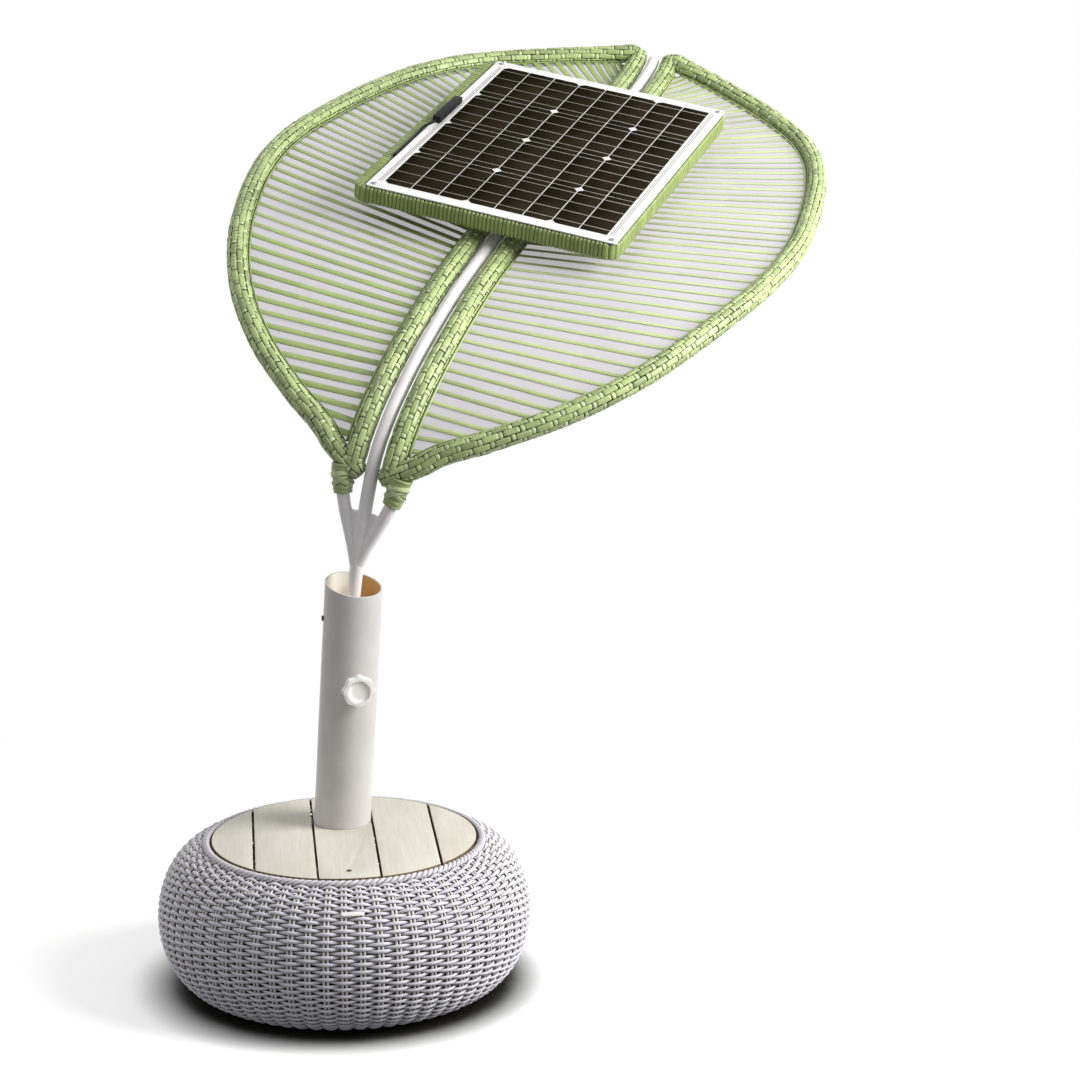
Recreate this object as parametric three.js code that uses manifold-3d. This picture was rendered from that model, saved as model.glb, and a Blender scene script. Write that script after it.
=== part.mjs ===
// Solar charging bench: a round woven seat with a plank top, a leaning post and
// a leaf-shaped shade that carries a solar panel.
// Millimetres, +Z up. The origin is the centre of the ballast plate's underside.
// The planks run along Y, and the post stands behind the centre of the seat.

import * as THREE from 'three';
import { mergeVertices } from 'three/addons/utils/BufferGeometryUtils.js';
import Module from 'manifold-3d';

const wasm = await Module();
wasm.setup();

const radians = THREE.MathUtils.degToRad;

// Clearances that all pieces share
const seat_gap = 0.3;
const running_gap = 0.5;
const cut_overrun = 40;

// Seat
const seat_diameter = 700;
const seat_height = 280;
const plank_stand = 5;
const floor_circle_diameter = 500;
const weave_thickness = 9;
const weave_floor_angle = -85;
const weave_relief = 4.5;
const weave_course_count = 22;
const rim_angle = 85.9;
const rim_braid_radius = 8;

// Inner frame of the seat
const frame_rod_radius = 6;
const rib_count = 6;
const rib_top_angle = 70;
const floor_ring_angle = -81;
const deck_stub_length = 36.6;

// Deck of planks
const plank_thickness = 22;
const plank_width = 108.8;
const plank_spacing = 4;
const plank_clearance = 0.6;
const bearer_height = 24;
const bearer_width = 30;
const bearer_front_share = 0.5;
const bearer_post_gap = 3.8;
const screw_head_radius = 4.5;
const screw_head_height = 1.2;
const screw_shank_radius = 2.4;
const plank_screw_inset = 42;

// Ballast and the things that stand on it
const ballast_thickness = 40;
const flange_radius = 95;
const flange_thickness = 10;
const flange_bolt_circle_radius = 76;
const flange_bolt_radius = 6;
const flange_bolt_head_radius = 10;
const flange_bolt_head_height = 8;
const flange_bolt_count = 3;
const battery_size = { x: 170, y: 105, z: 92 };
const battery_place = { x: -115, y: -95 };
const controller_size = { x: 125, y: 80, z: 34 };
const controller_place = { x: 105, y: -95 };

// Post
const post_diameter = 108;
const post_wall = 3.5;
const post_rise = 462;
const post_place_y = 90;
const post_lean_angle = 3.5;
const post_clearance = 1.5;
const mouth_front_angle = 13;
const mouth_right_angle = 8;

// Guides inside the post, measured along it from the plank tops
const pipe_radius = 13;
const pipe_wall = 2.5;
const guide_place = 396;
const guide_height = 24;
const collar_place = 276;
const collar_height = 40;
const foot_height = 40;
const foot_floor = 10;
const guide_screw_radius = 3;
const guide_screw_head_radius = 5;
const guide_screw_head_height = 3;
const guide_screw_angle = -86.5;

// Clamp knob
const knob_angle = 10.4;
const knob_radius = 29;
const knob_lobe_depth = 2.6;
const knob_lobe_count = 8;
const knob_thickness = 17;
const knob_dish_radius = 19;
const knob_dish_depth = 4;
const knob_hub_radius = 14;
const knob_hub_height = 6;
const washer_radius = 16;
const washer_thickness = 3;
const clamp_screw_radius = 5;
const clamp_screw_grip = 14;

// Leaf, in its own frame: X across, Y away along the ground, Z up in its middle plane
const leaf_turn_angle = 23.9;
const leaf_roll_angle = 11.4;
const leaf_reach = 1450;
const leaf_rise = 970;
const leaf_half_width = 550;
// Middle pipe from the post's mouth to the leaf's tip, as shares of the reach and the rise
const pipe_reach_shares = [
  0, -0.005, -0.008, -0.004, 0.02, 0.054, 0.097, 0.15, 0.21, 0.278, 0.35,
  0.427, 0.506, 0.586, 0.665, 0.74, 0.81, 0.872, 0.923, 0.963, 0.99, 1,
];
const pipe_rise_shares = [
  0, 0.098, 0.193, 0.26, 0.329, 0.385, 0.441, 0.497, 0.552, 0.602, 0.647,
  0.689, 0.726, 0.76, 0.795, 0.827, 0.858, 0.888, 0.917, 0.945, 0.973, 1,
];
const fork_station_count = 2;
// Rim of each half: places along the middle pipe and half widths, as shares
const rim_along_shares = [
  0.05, 0.084, 0.126, 0.174, 0.229, 0.288, 0.351, 0.417, 0.485, 0.555,
  0.624, 0.693, 0.758, 0.819, 0.874, 0.92, 0.957, 0.983,
];
const rim_width_shares = [
  0.196, 0.355, 0.52, 0.658, 0.769, 0.853, 0.916, 0.967, 0.996, 1,
  0.98, 0.947, 0.904, 0.842, 0.74, 0.58, 0.385, 0.193,
];
const leaf_base_corner_place = 2;
const leaf_tip_corner_inset = 9;
const leaf_base_corner_reach = 72;
const leaf_tip_corner_reach = 38;
const corner_steps = 5;
const loop_rod_radius = 11;
const wrap_radius = 21;
const rail_gap = 4;
const loop_joint_gap = 1;
const loop_joint_stub = 8;
const pipe_tip_inset = 22;
const cap_length = 12;
const cap_plug_length = 14;
const cap_shoulder_radius_share = 0.75;
const cap_shoulder_height_share = 0.85;

// Strung strips and shade cloth
const strip_count = 60;
const strip_width = 11;
const strip_thickness = 1.2;
const strip_border = 5;
const strip_edge_gap = 1.6;
const strip_base_inset = 76;
const strip_tip_inset = 44;
const strip_crowding_share = 0.25;
const cloth_thickness = 0.8;
const cloth_drop = 2.2;
const cloth_steps = 28;
const cloth_crowding_share = 0.1;

// Fork branches
const branch_radius = 12.5;
const branch_foot_rise = 62;
const branch_sleeve_rise = 168;
const branch_spread = 48;
const branch_top_spread = 58;
const branch_top_rise = 226;
const gusset_thickness = 5;
const gusset_bottom_rise = 84;
const gusset_top_rise = 146;
const sleeve_wall = 4.5;

// Solar panel, in its own frame: X across, Y up the slope, Z out of the cells
const panel_place = 1004.5;
const panel_lift = 75.5;
const panel_tilt_angle = 2.39;
const cell_row_count = 4;
const cell_column_count = 8;
const cell_pitch_x = 58.9;
const cell_pitch_y = 171.5;
const cell_spacing = 2.4;
const cell_thickness = 0.4;
const cell_chamfer = 9;
const ribbon_width = 6;
const wafer_cell_count = 3;
const sheet_margin = 27;
const sheet_thickness = 2.5;
const bar_width = 26;
const bar_height = 36;
const bar_overhang = 18;
const bar_side_shift = 12;
const crossbar_width = 30;
const crossbar_height = 12;
const crossbar_place = 230;
const saddle_length = 30;
const saddle_half_width = 16;
const saddle_strap_thickness = 2.6;
const panel_screw_inset = 13;
const panel_screw_length = 24;
const box_length = 126;
const box_width = 18;
const box_height = 14;
const box_place_y = 46;
const lead_radius = 3;
const lead_steps = 12;
const lead_bend_length = 18;
const lead_end_share = 0.62;

// Numbers of flat sides on round pieces
const seat_sides = 32;
const ring_sides = 24;
const post_sides = 32;
const disc_sides = 16;
const pipe_sides = 10;
const wrap_sides = 8;
const bore_sides = 8;
const rod_sides = 6;
const loop_rod_sides = 4;

// Colours
const looks = {
  weave: { color: 0xbebcc6, roughness: 0.55, metalness: 0 },
  plank: { color: 0xc8c3af, roughness: 0.8, metalness: 0 },
  paint: { color: 0xc9c5c0, roughness: 0.4, metalness: 0.1 },
  white_paint: { color: 0xe6e3e2, roughness: 0.35, metalness: 0.1 },
  inner_frame: { color: 0x9da0a3, roughness: 0.4, metalness: 0.8 },
  iron: { color: 0x4b4d50, roughness: 0.7, metalness: 0.6 },
  fastener: { color: 0xa8aaac, roughness: 0.3, metalness: 0.9 },
  nylon: { color: 0xd8d4cb, roughness: 0.5, metalness: 0 },
  knob: { color: 0xf2f0ee, roughness: 0.3, metalness: 0 },
  green_strip: { color: 0x96b464, roughness: 0.45, metalness: 0 },
  shade: { color: 0xd7d2d7, roughness: 0.8, metalness: 0 },
  sheet: { color: 0xf0f0ee, roughness: 0.3, metalness: 0 },
  cell: { color: 0x2a241e, roughness: 0.2, metalness: 0 },
  black_plastic: { color: 0x17171a, roughness: 0.4, metalness: 0 },
};

const object = new THREE.Group();

// Adds one named piece, placed by a matrix
function add(name, geometry, look, place = new THREE.Matrix4()) {
  const mesh = new THREE.Mesh(geometry, new THREE.MeshStandardMaterial(looks[look]));
  mesh.name = name;
  mesh.applyMatrix4(place);
  object.add(mesh);
  return mesh;
}

function vec(x, y, z) {
  return new THREE.Vector3(x, y, z);
}

function shift(x, y, z) {
  return new THREE.Matrix4().makeTranslation(x, y, z);
}

function turnX(angle) {
  return new THREE.Matrix4().makeRotationX(radians(angle));
}

function turnY(angle) {
  return new THREE.Matrix4().makeRotationY(radians(angle));
}

function turnZ(angle) {
  return new THREE.Matrix4().makeRotationZ(radians(angle));
}

function chain(...matrices) {
  return matrices.reduce((all, next) => all.multiply(next), new THREE.Matrix4());
}

function moved(geometry, place) {
  return geometry.clone().applyMatrix4(place);
}

// Points of a regular outline whose corners lie on the radius
function ringPoints(radius, sides) {
  const points = [];
  for (let i = 0; i < sides; i += 1) {
    const angle = (i * 2 * Math.PI) / sides;
    points.push(new THREE.Vector2(radius * Math.cos(angle), radius * Math.sin(angle)));
  }
  return points;
}

// Radius of the corners of a hole whose flats lie on the given radius
function boreRadius(radius, sides) {
  return radius / Math.cos(Math.PI / sides);
}

// Distance from the axis to the flats of a piece whose corners lie on the radius
function flatRadius(radius, sides) {
  return radius * Math.cos(Math.PI / sides);
}

function disc(radius, sides) {
  return new THREE.Shape(ringPoints(radius, sides));
}

function ring(outer, inner, outerSides, innerSides) {
  const shape = disc(outer, outerSides);
  shape.holes.push(new THREE.Path(ringPoints(boreRadius(inner, innerSides), innerSides)));
  return shape;
}

function prism(shape, depth) {
  return new THREE.ExtrudeGeometry(shape, { depth, bevelEnabled: false, steps: 1 });
}

function cylinder(radius, depth, sides) {
  return prism(disc(radius, sides), depth);
}

function block(x, y, z) {
  return new THREE.BoxGeometry(x, y, z);
}

// Tube or rod through the given points, with a ring of corners at each point
function sweep(shape, points) {
  const path = new THREE.CatmullRomCurve3(points, false, 'centripetal');
  const last = points.length - 1;
  path.getPointAt = path.getPoint;
  path.getTangentAt = (share) => {
    const i = Math.round(share * last);
    const before = points[Math.max(i - 1, 0)];
    return points[Math.min(i + 1, last)].clone().sub(before).normalize();
  };
  return new THREE.ExtrudeGeometry(shape, { extrudePath: path, steps: points.length - 1 });
}

// Closed mesh to solid, and back
function solid(geometry) {
  const bare = geometry.clone();
  bare.deleteAttribute('normal');
  bare.deleteAttribute('uv');
  const merged = mergeVertices(bare);
  return new wasm.Manifold(new wasm.Mesh({
    numProp: 3,
    vertProperties: new Float32Array(merged.attributes.position.array),
    triVerts: new Uint32Array(merged.index.array),
  }));
}

function geometryOf(body) {
  const mesh = body.getMesh();
  const geometry = new THREE.BufferGeometry();
  geometry.setAttribute('position', new THREE.BufferAttribute(mesh.vertProperties, 3));
  geometry.setIndex(new THREE.BufferAttribute(mesh.triVerts, 1));
  geometry.computeVertexNormals();
  return geometry;
}

function cut(geometry, ...cutters) {
  const left = cutters.reduce((body, cutter) => body.subtract(solid(cutter)), solid(geometry));
  return geometryOf(left);
}

function join(...geometries) {
  const bodies = geometries.map(solid);
  return geometryOf(bodies.reduce((body, next) => body.add(next)));
}

// Section of the seat: half an ellipse on each side of a flat middle
const seat_radius = seat_diameter / 2;
const floor_radius = floor_circle_diameter / 2;
const bulge_width = seat_radius - floor_radius;
const bulge_half_height = (seat_height - plank_stand) / 2;

// Point on the seat's section, at a depth under its outer face
function seatPoint(angle, depth) {
  const turn = radians(angle);
  return new THREE.Vector2(
    floor_radius + (bulge_width - depth) * Math.cos(turn),
    bulge_half_height + (bulge_half_height - depth) * Math.sin(turn),
  );
}

// Woven shell, ending under the braided rim
const rim_centre = seatPoint(rim_angle, weave_thickness / 2);
const rim_arc_radius = seatPoint(rim_angle, weave_thickness / 2).distanceTo(
  new THREE.Vector2(floor_radius, bulge_half_height),
);
const weave_steps = 9;

function weaveTopAngle() {
  const reach = rim_braid_radius + seat_gap;
  let angle = rim_angle;
  while (seatPoint(angle, weave_thickness / 2).distanceTo(rim_centre) < reach) {
    angle -= reach / rim_arc_radius;
  }
  return angle;
}

function seatArc(from, to, depth, steps) {
  const points = [];
  for (let i = 0; i <= steps; i += 1) {
    points.push(seatPoint(from + ((to - from) * i) / steps, depth));
  }
  return points;
}

// Shell whose outer face stands out and sinks by turns, as its crossing strands do
function shellGeometry(top) {
  const raised = seatArc(weave_floor_angle, top, 0, weave_course_count);
  const sunk = seatArc(weave_floor_angle, top, weave_relief, weave_course_count);
  const inner = seatArc(top, weave_floor_angle, weave_thickness, weave_steps);
  const section = [...raised, ...inner];
  const positions = [];
  section.forEach((point, row) => {
    const crossing = row > 0 && row < weave_course_count;
    for (let i = 0; i < seat_sides; i += 1) {
      const turn = (i * 2 * Math.PI) / seat_sides;
      const p = crossing && (i + row) % 2 === 1 ? sunk[row] : point;
      positions.push(p.x * Math.cos(turn), p.x * Math.sin(turn), p.y);
    }
  });
  const index = (row, i) => (row % section.length) * seat_sides + (i % seat_sides);
  const faces = [];
  for (let row = 0; row < section.length; row += 1) {
    for (let i = 0; i < seat_sides; i += 1) {
      const a = index(row, i);
      const b = index(row, i + 1);
      const c = index(row + 1, i + 1);
      const d = index(row + 1, i);
      if ((i + row) % 2 === 0) {
        faces.push(a, b, d, b, c, d);
      } else {
        faces.push(a, b, c, a, c, d);
      }
    }
  }
  const geometry = new THREE.BufferGeometry();
  geometry.setAttribute('position', new THREE.Float32BufferAttribute(positions, 3));
  geometry.setIndex(faces);
  geometry.computeVertexNormals();
  return geometry;
}

function makeShell() {
  add('woven_shell', shellGeometry(weaveTopAngle()), 'weave');
  const rim = new THREE.TorusGeometry(rim_centre.x, rim_braid_radius, rod_sides, seat_sides);
  add('braided_rim', rim, 'weave', shift(0, 0, rim_centre.y));
}

// Inner frame: two rings, ribs and the stubs that carry the deck ring
const weave_step_angle = (rim_angle - weave_floor_angle) / weave_steps;
const weave_sag = bulge_half_height * (1 - Math.cos(radians(weave_step_angle / 2)));
const frame_depth = weave_thickness + weave_sag + seat_gap + frame_rod_radius;
const bearer_top = seat_height - plank_thickness - seat_gap;
const deck_ring_place = bearer_top - bearer_height - seat_gap - frame_rod_radius;
const deck_ring_share = (deck_ring_place - bulge_half_height) / (bulge_half_height - frame_depth);
const rib_radius = floor_radius + (bulge_width - frame_depth) * Math.sqrt(1 - deck_ring_share ** 2);
const deck_ring_radius = rib_radius - deck_stub_length;
const floor_ring = seatPoint(floor_ring_angle, frame_depth);

function makeInnerFrame() {
  const low = new THREE.TorusGeometry(floor_ring.x, frame_rod_radius, rod_sides, seat_sides);
  const high = new THREE.TorusGeometry(deck_ring_radius, frame_rod_radius, rod_sides, ring_sides);
  low.translate(0, 0, floor_ring.y);
  high.translate(0, 0, deck_ring_place);
  const rib_points = seatArc(floor_ring_angle, rib_top_angle, frame_depth, rod_sides);
  const rib = sweep(disc(frame_rod_radius, rod_sides), rib_points.map((p) => vec(p.x, 0, p.y)));
  const stub = cylinder(frame_rod_radius, deck_stub_length, rod_sides);
  const stub_place = chain(shift(deck_ring_radius, 0, deck_ring_place), turnY(90));
  const pieces = [low, high];
  for (let i = 0; i < rib_count; i += 1) {
    const place = turnZ(((i + 0.5) * 360) / rib_count);
    pieces.push(moved(rib, place), moved(stub, chain(place, stub_place)));
  }
  add('seat_frame', join(...pieces), 'inner_frame');
}

// Post, in a frame that leans with it and starts at the plank tops
const post_radius = post_diameter / 2;
const post_bore = post_radius - post_wall;
const lean_share = Math.tan(radians(post_lean_angle));
const post_frame = chain(shift(0, post_place_y, seat_height), turnY(post_lean_angle));
const flange_top = ballast_thickness + seat_gap + flange_thickness;
const flange_place_x = -(seat_height - flange_top) * lean_share;

// Deck: boards cut from one circle, the middle one broken by the post
const rim_inside = flatRadius(rim_centre.x - rim_braid_radius, seat_sides);
const deck_radius = rim_inside - plank_clearance;
const plank_pitch = plank_width + plank_spacing;
const deck_arc_steps = 8;

// Outline of the part of a circle between two lines along Y
function boardShape(radius, left, right, back) {
  const points = [];
  const start = Math.acos(left / radius);
  const end = Math.acos(Math.min(right, radius) / radius);
  for (let i = 0; i <= deck_arc_steps; i += 1) {
    const angle = -start + ((start - end) * i) / deck_arc_steps;
    points.push(new THREE.Vector2(radius * Math.cos(angle), radius * Math.sin(angle)));
  }
  if (back !== undefined) {
    points.push(new THREE.Vector2(right, back), new THREE.Vector2(left, back));
    return new THREE.Shape(points);
  }
  const top = points.map((p) => new THREE.Vector2(p.x, -p.y)).reverse();
  if (right >= radius) {
    top.shift();
  }
  if (left <= -radius) {
    top.pop();
  }
  return new THREE.Shape([...points, ...top]);
}

function makeDeck() {
  const half = plank_width / 2;
  const bottom = shift(0, 0, seat_height - plank_thickness);
  const names = ['plank_outer_left', 'plank_left', null, 'plank_right', 'plank_outer_right'];
  names.forEach((name, i) => {
    if (name === null) {
      return;
    }
    const middle = (i - (names.length - 1) / 2) * plank_pitch;
    const left = Math.max(middle - half, -deck_radius);
    const right = Math.min(middle + half, deck_radius);
    add(name, prism(boardShape(deck_radius, left, right), plank_thickness), 'plank', bottom);
  });
  const hole = cylinder(post_radius + post_clearance, post_rise, post_sides);
  const hole_place = chain(post_frame, shift(0, 0, -post_rise / 2));
  const front = prism(boardShape(deck_radius, -half, half, post_place_y), plank_thickness);
  const rear = prism(boardShape(deck_radius, -half, half, -post_place_y), plank_thickness);
  const screw_hole = cylinder(screw_shank_radius + seat_gap, plank_thickness * 2, pipe_sides);
  const screw_y = -deck_radius + plank_screw_inset;
  screw_hole.translate(0, screw_y, seat_height - plank_thickness * 1.5);
  const front_board = cut(moved(front, bottom), moved(hole, hole_place), screw_hole);
  add('plank_middle_front', front_board, 'plank');
  const rear_board = cut(moved(rear, chain(bottom, turnZ(180))), moved(hole, hole_place));
  add('plank_middle_rear', rear_board, 'plank');
  const head = cylinder(screw_head_radius, screw_head_height, disc_sides);
  const shank = cylinder(screw_shank_radius, plank_thickness + screw_head_height, pipe_sides);
  shank.translate(0, 0, -plank_thickness);
  add('plank_screw', join(head, shank), 'fastener', shift(0, screw_y, seat_height + seat_gap));
}

function makeBearers() {
  const rear_y = post_place_y + post_radius + bearer_post_gap + bearer_width / 2;
  const places = [['bearer_front', -bearer_front_share * deck_radius], ['bearer_rear', rear_y]];
  places.forEach(([name, y]) => {
    const far_edge = Math.abs(y) + bearer_width / 2;
    const half_length = Math.sqrt(deck_ring_radius ** 2 - far_edge ** 2);
    const bar = block(half_length * 2, bearer_width, bearer_height);
    add(name, bar, 'inner_frame', shift(0, y, bearer_top - bearer_height / 2));
  });
}

// Ballast plate, flange, bolts and the electric boxes
function boltPlaces() {
  const places = [];
  for (let i = 0; i < flange_bolt_count; i += 1) {
    const angle = ((i + 0.5) * 2 * Math.PI) / flange_bolt_count;
    places.push(new THREE.Vector2(
      flange_place_x + flange_bolt_circle_radius * Math.cos(angle),
      post_place_y + flange_bolt_circle_radius * Math.sin(angle),
    ));
  }
  return places;
}

function holeAt(place) {
  const radius = boreRadius(flange_bolt_radius + seat_gap, bore_sides);
  return new THREE.Path(ringPoints(radius, bore_sides).map((p) => p.add(place)));
}

function makeBallast() {
  const shell_room = seatPoint(weave_floor_angle, weave_thickness).x - seat_gap * 2;
  const ring_room = floor_ring.x - frame_rod_radius - boreRadius(seat_gap, seat_sides);
  const plate = disc(Math.min(shell_room, ring_room), seat_sides);
  const flange = new THREE.Shape(
    ringPoints(flange_radius, post_sides).map((p) => p.add(vec(flange_place_x, post_place_y, 0))),
  );
  boltPlaces().forEach((place) => {
    plate.holes.push(holeAt(place));
    flange.holes.push(holeAt(place));
  });
  add('ballast_plate', prism(plate, ballast_thickness), 'iron');
  const flange_bottom = ballast_thickness + seat_gap;
  add('post_flange', prism(flange, flange_thickness), 'paint', shift(0, 0, flange_bottom));
  boltPlaces().forEach((place, i) => {
    const head = cylinder(flange_bolt_head_radius, flange_bolt_head_height, rod_sides);
    const shank_length = flange_thickness + ballast_thickness / 2;
    const shank = cylinder(flange_bolt_radius, shank_length + flange_bolt_head_height, bore_sides);
    shank.translate(0, 0, -shank_length);
    const bolt_place = shift(place.x, place.y, flange_top + seat_gap);
    add(`flange_bolt_${i + 1}`, join(head, shank), 'fastener', bolt_place);
  });
  const boxes = [
    ['battery_case', battery_size, battery_place],
    ['charge_controller', controller_size, controller_place],
  ];
  boxes.forEach(([name, size, place]) => {
    const z = ballast_thickness + seat_gap + size.z / 2;
    add(name, block(size.x, size.y, size.z), 'black_plastic', shift(place.x, place.y, z));
  });
}

// Radial direction across the post: from its axis, turned about it from the front
function acrossPost(place, angle) {
  return chain(post_frame, shift(0, 0, place), turnZ(angle), turnX(90));
}

const knob_cross = acrossPost(collar_place, knob_angle);
const screw_cross = acrossPost(guide_place, guide_screw_angle);
const mouth = vec(0, 0, post_rise).applyMatrix4(post_frame);

function makePost() {
  const length = post_rise + seat_height + cut_overrun;
  const tube = prism(ring(post_radius, post_bore, post_sides, post_sides), length);
  const raw = moved(tube, chain(post_frame, shift(0, 0, -seat_height)));
  const cutter_size = post_diameter * 3;
  const below = block(cutter_size, cutter_size, cutter_size);
  below.translate(flange_place_x, post_place_y, flange_top + seat_gap - cutter_size / 2);
  const above = block(cutter_size, cutter_size, cutter_size);
  above.translate(0, 0, cutter_size / 2);
  const slant = chain(
    shift(mouth.x, mouth.y, mouth.z),
    turnX(mouth_front_angle),
    turnY(mouth_right_angle),
  );
  const clamp_hole = cylinder(clamp_screw_radius + seat_gap, post_diameter, disc_sides);
  const screw_hole = cylinder(guide_screw_radius + seat_gap, post_diameter, pipe_sides);
  add('post', cut(
    raw,
    below,
    moved(above, slant),
    moved(clamp_hole, knob_cross),
    moved(screw_hole, screw_cross),
  ), 'paint');
}

function makeGuides() {
  const outer = post_bore - seat_gap;
  const shape = ring(outer, pipe_radius + seat_gap, post_sides, disc_sides);
  const guide = prism(shape, guide_height);
  guide.translate(0, 0, guide_place - guide_height / 2);
  const collar = prism(shape, collar_height);
  collar.translate(0, 0, collar_place - collar_height / 2);
  const clamp_hole = cylinder(clamp_screw_radius + seat_gap, post_diameter, disc_sides);
  const screw_hole = cylinder(guide_screw_radius + seat_gap, post_diameter, pipe_sides);
  const guide_body = cut(moved(guide, post_frame), moved(screw_hole, screw_cross));
  add('upper_guide', guide_body, 'nylon');
  add('clamp_collar', cut(moved(collar, post_frame), moved(clamp_hole, knob_cross)), 'nylon');
  const head = cylinder(guide_screw_head_radius, guide_screw_head_height, disc_sides);
  head.translate(0, 0, post_radius + seat_gap);
  const shank_start = pipe_radius + seat_gap * 4;
  const shank = cylinder(guide_screw_radius, post_radius - shank_start + seat_gap * 2, pipe_sides);
  shank.translate(0, 0, shank_start);
  add('guide_screw', join(head, shank), 'fastener', screw_cross);
}

// Foot that carries the pipe: the lowest point of its slanted underside nears the flange
const foot_radius = post_bore - running_gap;
const foot_drop = (seat_height - flange_top - seat_gap * 2) / Math.cos(radians(post_lean_angle));
const foot_place = -foot_drop + foot_radius * lean_share;
const pipe_start = foot_place + foot_floor + seat_gap;

function makeFoot() {
  const socket = cylinder(boreRadius(pipe_radius + seat_gap, disc_sides), foot_height, disc_sides);
  socket.translate(0, 0, foot_floor);
  const foot = cut(cylinder(foot_radius, foot_height, post_sides), socket);
  add('pipe_foot', foot, 'nylon', chain(post_frame, shift(0, 0, foot_place)));
}

// Knob, washer and screw, along the cross direction from the post's axis
function makeKnob() {
  const washer_start = post_radius + seat_gap;
  const washer = prism(
    ring(washer_radius, clamp_screw_radius + seat_gap, disc_sides, disc_sides),
    washer_thickness,
  );
  washer.translate(0, 0, washer_start);
  add('knob_washer', washer, 'nylon', knob_cross);
  const points = [];
  const steps = knob_lobe_count * rod_sides;
  for (let i = 0; i < steps; i += 1) {
    const angle = (i * 2 * Math.PI) / steps;
    const radius = knob_radius + knob_lobe_depth * Math.cos(angle * knob_lobe_count);
    points.push(new THREE.Vector2(radius * Math.cos(angle), radius * Math.sin(angle)));
  }
  const hub_start = washer_start + washer_thickness + seat_gap;
  const hub = cylinder(knob_hub_radius, knob_hub_height * 2, disc_sides);
  hub.translate(0, 0, hub_start);
  const head = prism(new THREE.Shape(points), knob_thickness);
  const head_start = hub_start + knob_hub_height;
  head.translate(0, 0, head_start);
  const dish = cylinder(knob_dish_radius, knob_thickness, disc_sides);
  dish.translate(0, 0, head_start + knob_thickness - knob_dish_depth);
  const socket = cylinder(clamp_screw_radius + seat_gap, clamp_screw_grip + cut_overrun, disc_sides);
  socket.translate(0, 0, hub_start + clamp_screw_grip - (clamp_screw_grip + cut_overrun));
  const knob = geometryOf(solid(head).add(solid(hub)).subtract(solid(dish)).subtract(solid(socket)));
  add('knob', knob, 'knob', knob_cross);
  const screw_start = pipe_radius + seat_gap;
  const screw_end = hub_start + clamp_screw_grip - seat_gap;
  const screw = cylinder(clamp_screw_radius, screw_end - screw_start, disc_sides);
  screw.translate(0, 0, screw_start);
  add('clamp_screw', screw, 'fastener', knob_cross);
}

// Leaf frame at the post's mouth
const leaf_frame = chain(shift(mouth.x, mouth.y, mouth.z), turnZ(-leaf_turn_angle), turnY(leaf_roll_angle));
const spine = new THREE.CatmullRomCurve3(
  pipe_reach_shares.map((share, i) => vec(0, share * leaf_reach, pipe_rise_shares[i] * leaf_rise)),
  false,
  'centripetal',
);
const spine_division_count = 420;
spine.arcLengthDivisions = spine_division_count;
const spine_lengths = spine.getLengths(spine_division_count);
const spine_length = spine_lengths[spine_division_count];
const station_count = pipe_reach_shares.length - 1;
const fork_length = spine_lengths[(fork_station_count * spine_division_count) / station_count];
const leaf_length = spine_length - fork_length;
const rail_offset = pipe_radius + rail_gap + wrap_radius;

// Point of the leaf: a distance along the middle pipe from the fork, a distance
// to one side, and a height over the leaf's face
function leafPoint(along, across, height = 0) {
  const place = Math.min(Math.max((fork_length + along) / spine_length, 0), 1);
  const point = spine.getPointAt(place);
  const tangent = spine.getTangentAt(place);
  return vec(
    across,
    point.y - tangent.z * height,
    point.z + tangent.y * height,
  );
}

// Outline of the right half, flat: along the pipe, then across
const base_corner = new THREE.Vector2(leaf_base_corner_place, rail_offset);
const tip_corner = new THREE.Vector2(leaf_length - leaf_tip_corner_inset, rail_offset);

function rimCurve() {
  const points = rim_along_shares.map((share, i) => vec(
    share * leaf_length,
    rim_width_shares[i] * leaf_half_width,
    0,
  ));
  const ends = [vec(base_corner.x, base_corner.y, 0), vec(tip_corner.x, tip_corner.y, 0)];
  return new THREE.CatmullRomCurve3([ends[0], ...points, ends[1]], false, 'centripetal');
}

const rail_steps = 13;
const rail_crowding_share = 0.4;
const rim_steps = 25;

// Round corner of the loop: an arc that touches the rail and meets the rim at a
// place, with the rail running forward or backward from it
function cornerArc(rim, place, forward) {
  const point = rim.getPointAt(place);
  const tangent = rim.getTangentAt(place).multiplyScalar(forward);
  const reach = (point.y - rail_offset) / tangent.y;
  const touch_x = point.x - tangent.x * reach + forward * reach;
  const turn = Math.PI - tangent.angleTo(vec(forward, 0, 0));
  const radius = reach / Math.tan(turn / 2);
  const points = [];
  for (let i = 0; i <= corner_steps; i += 1) {
    const angle = (turn * i) / corner_steps;
    points.push(new THREE.Vector2(
      touch_x - forward * radius * Math.sin(angle),
      rail_offset + radius * (1 - Math.cos(angle)),
    ));
  }
  return points;
}

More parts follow.
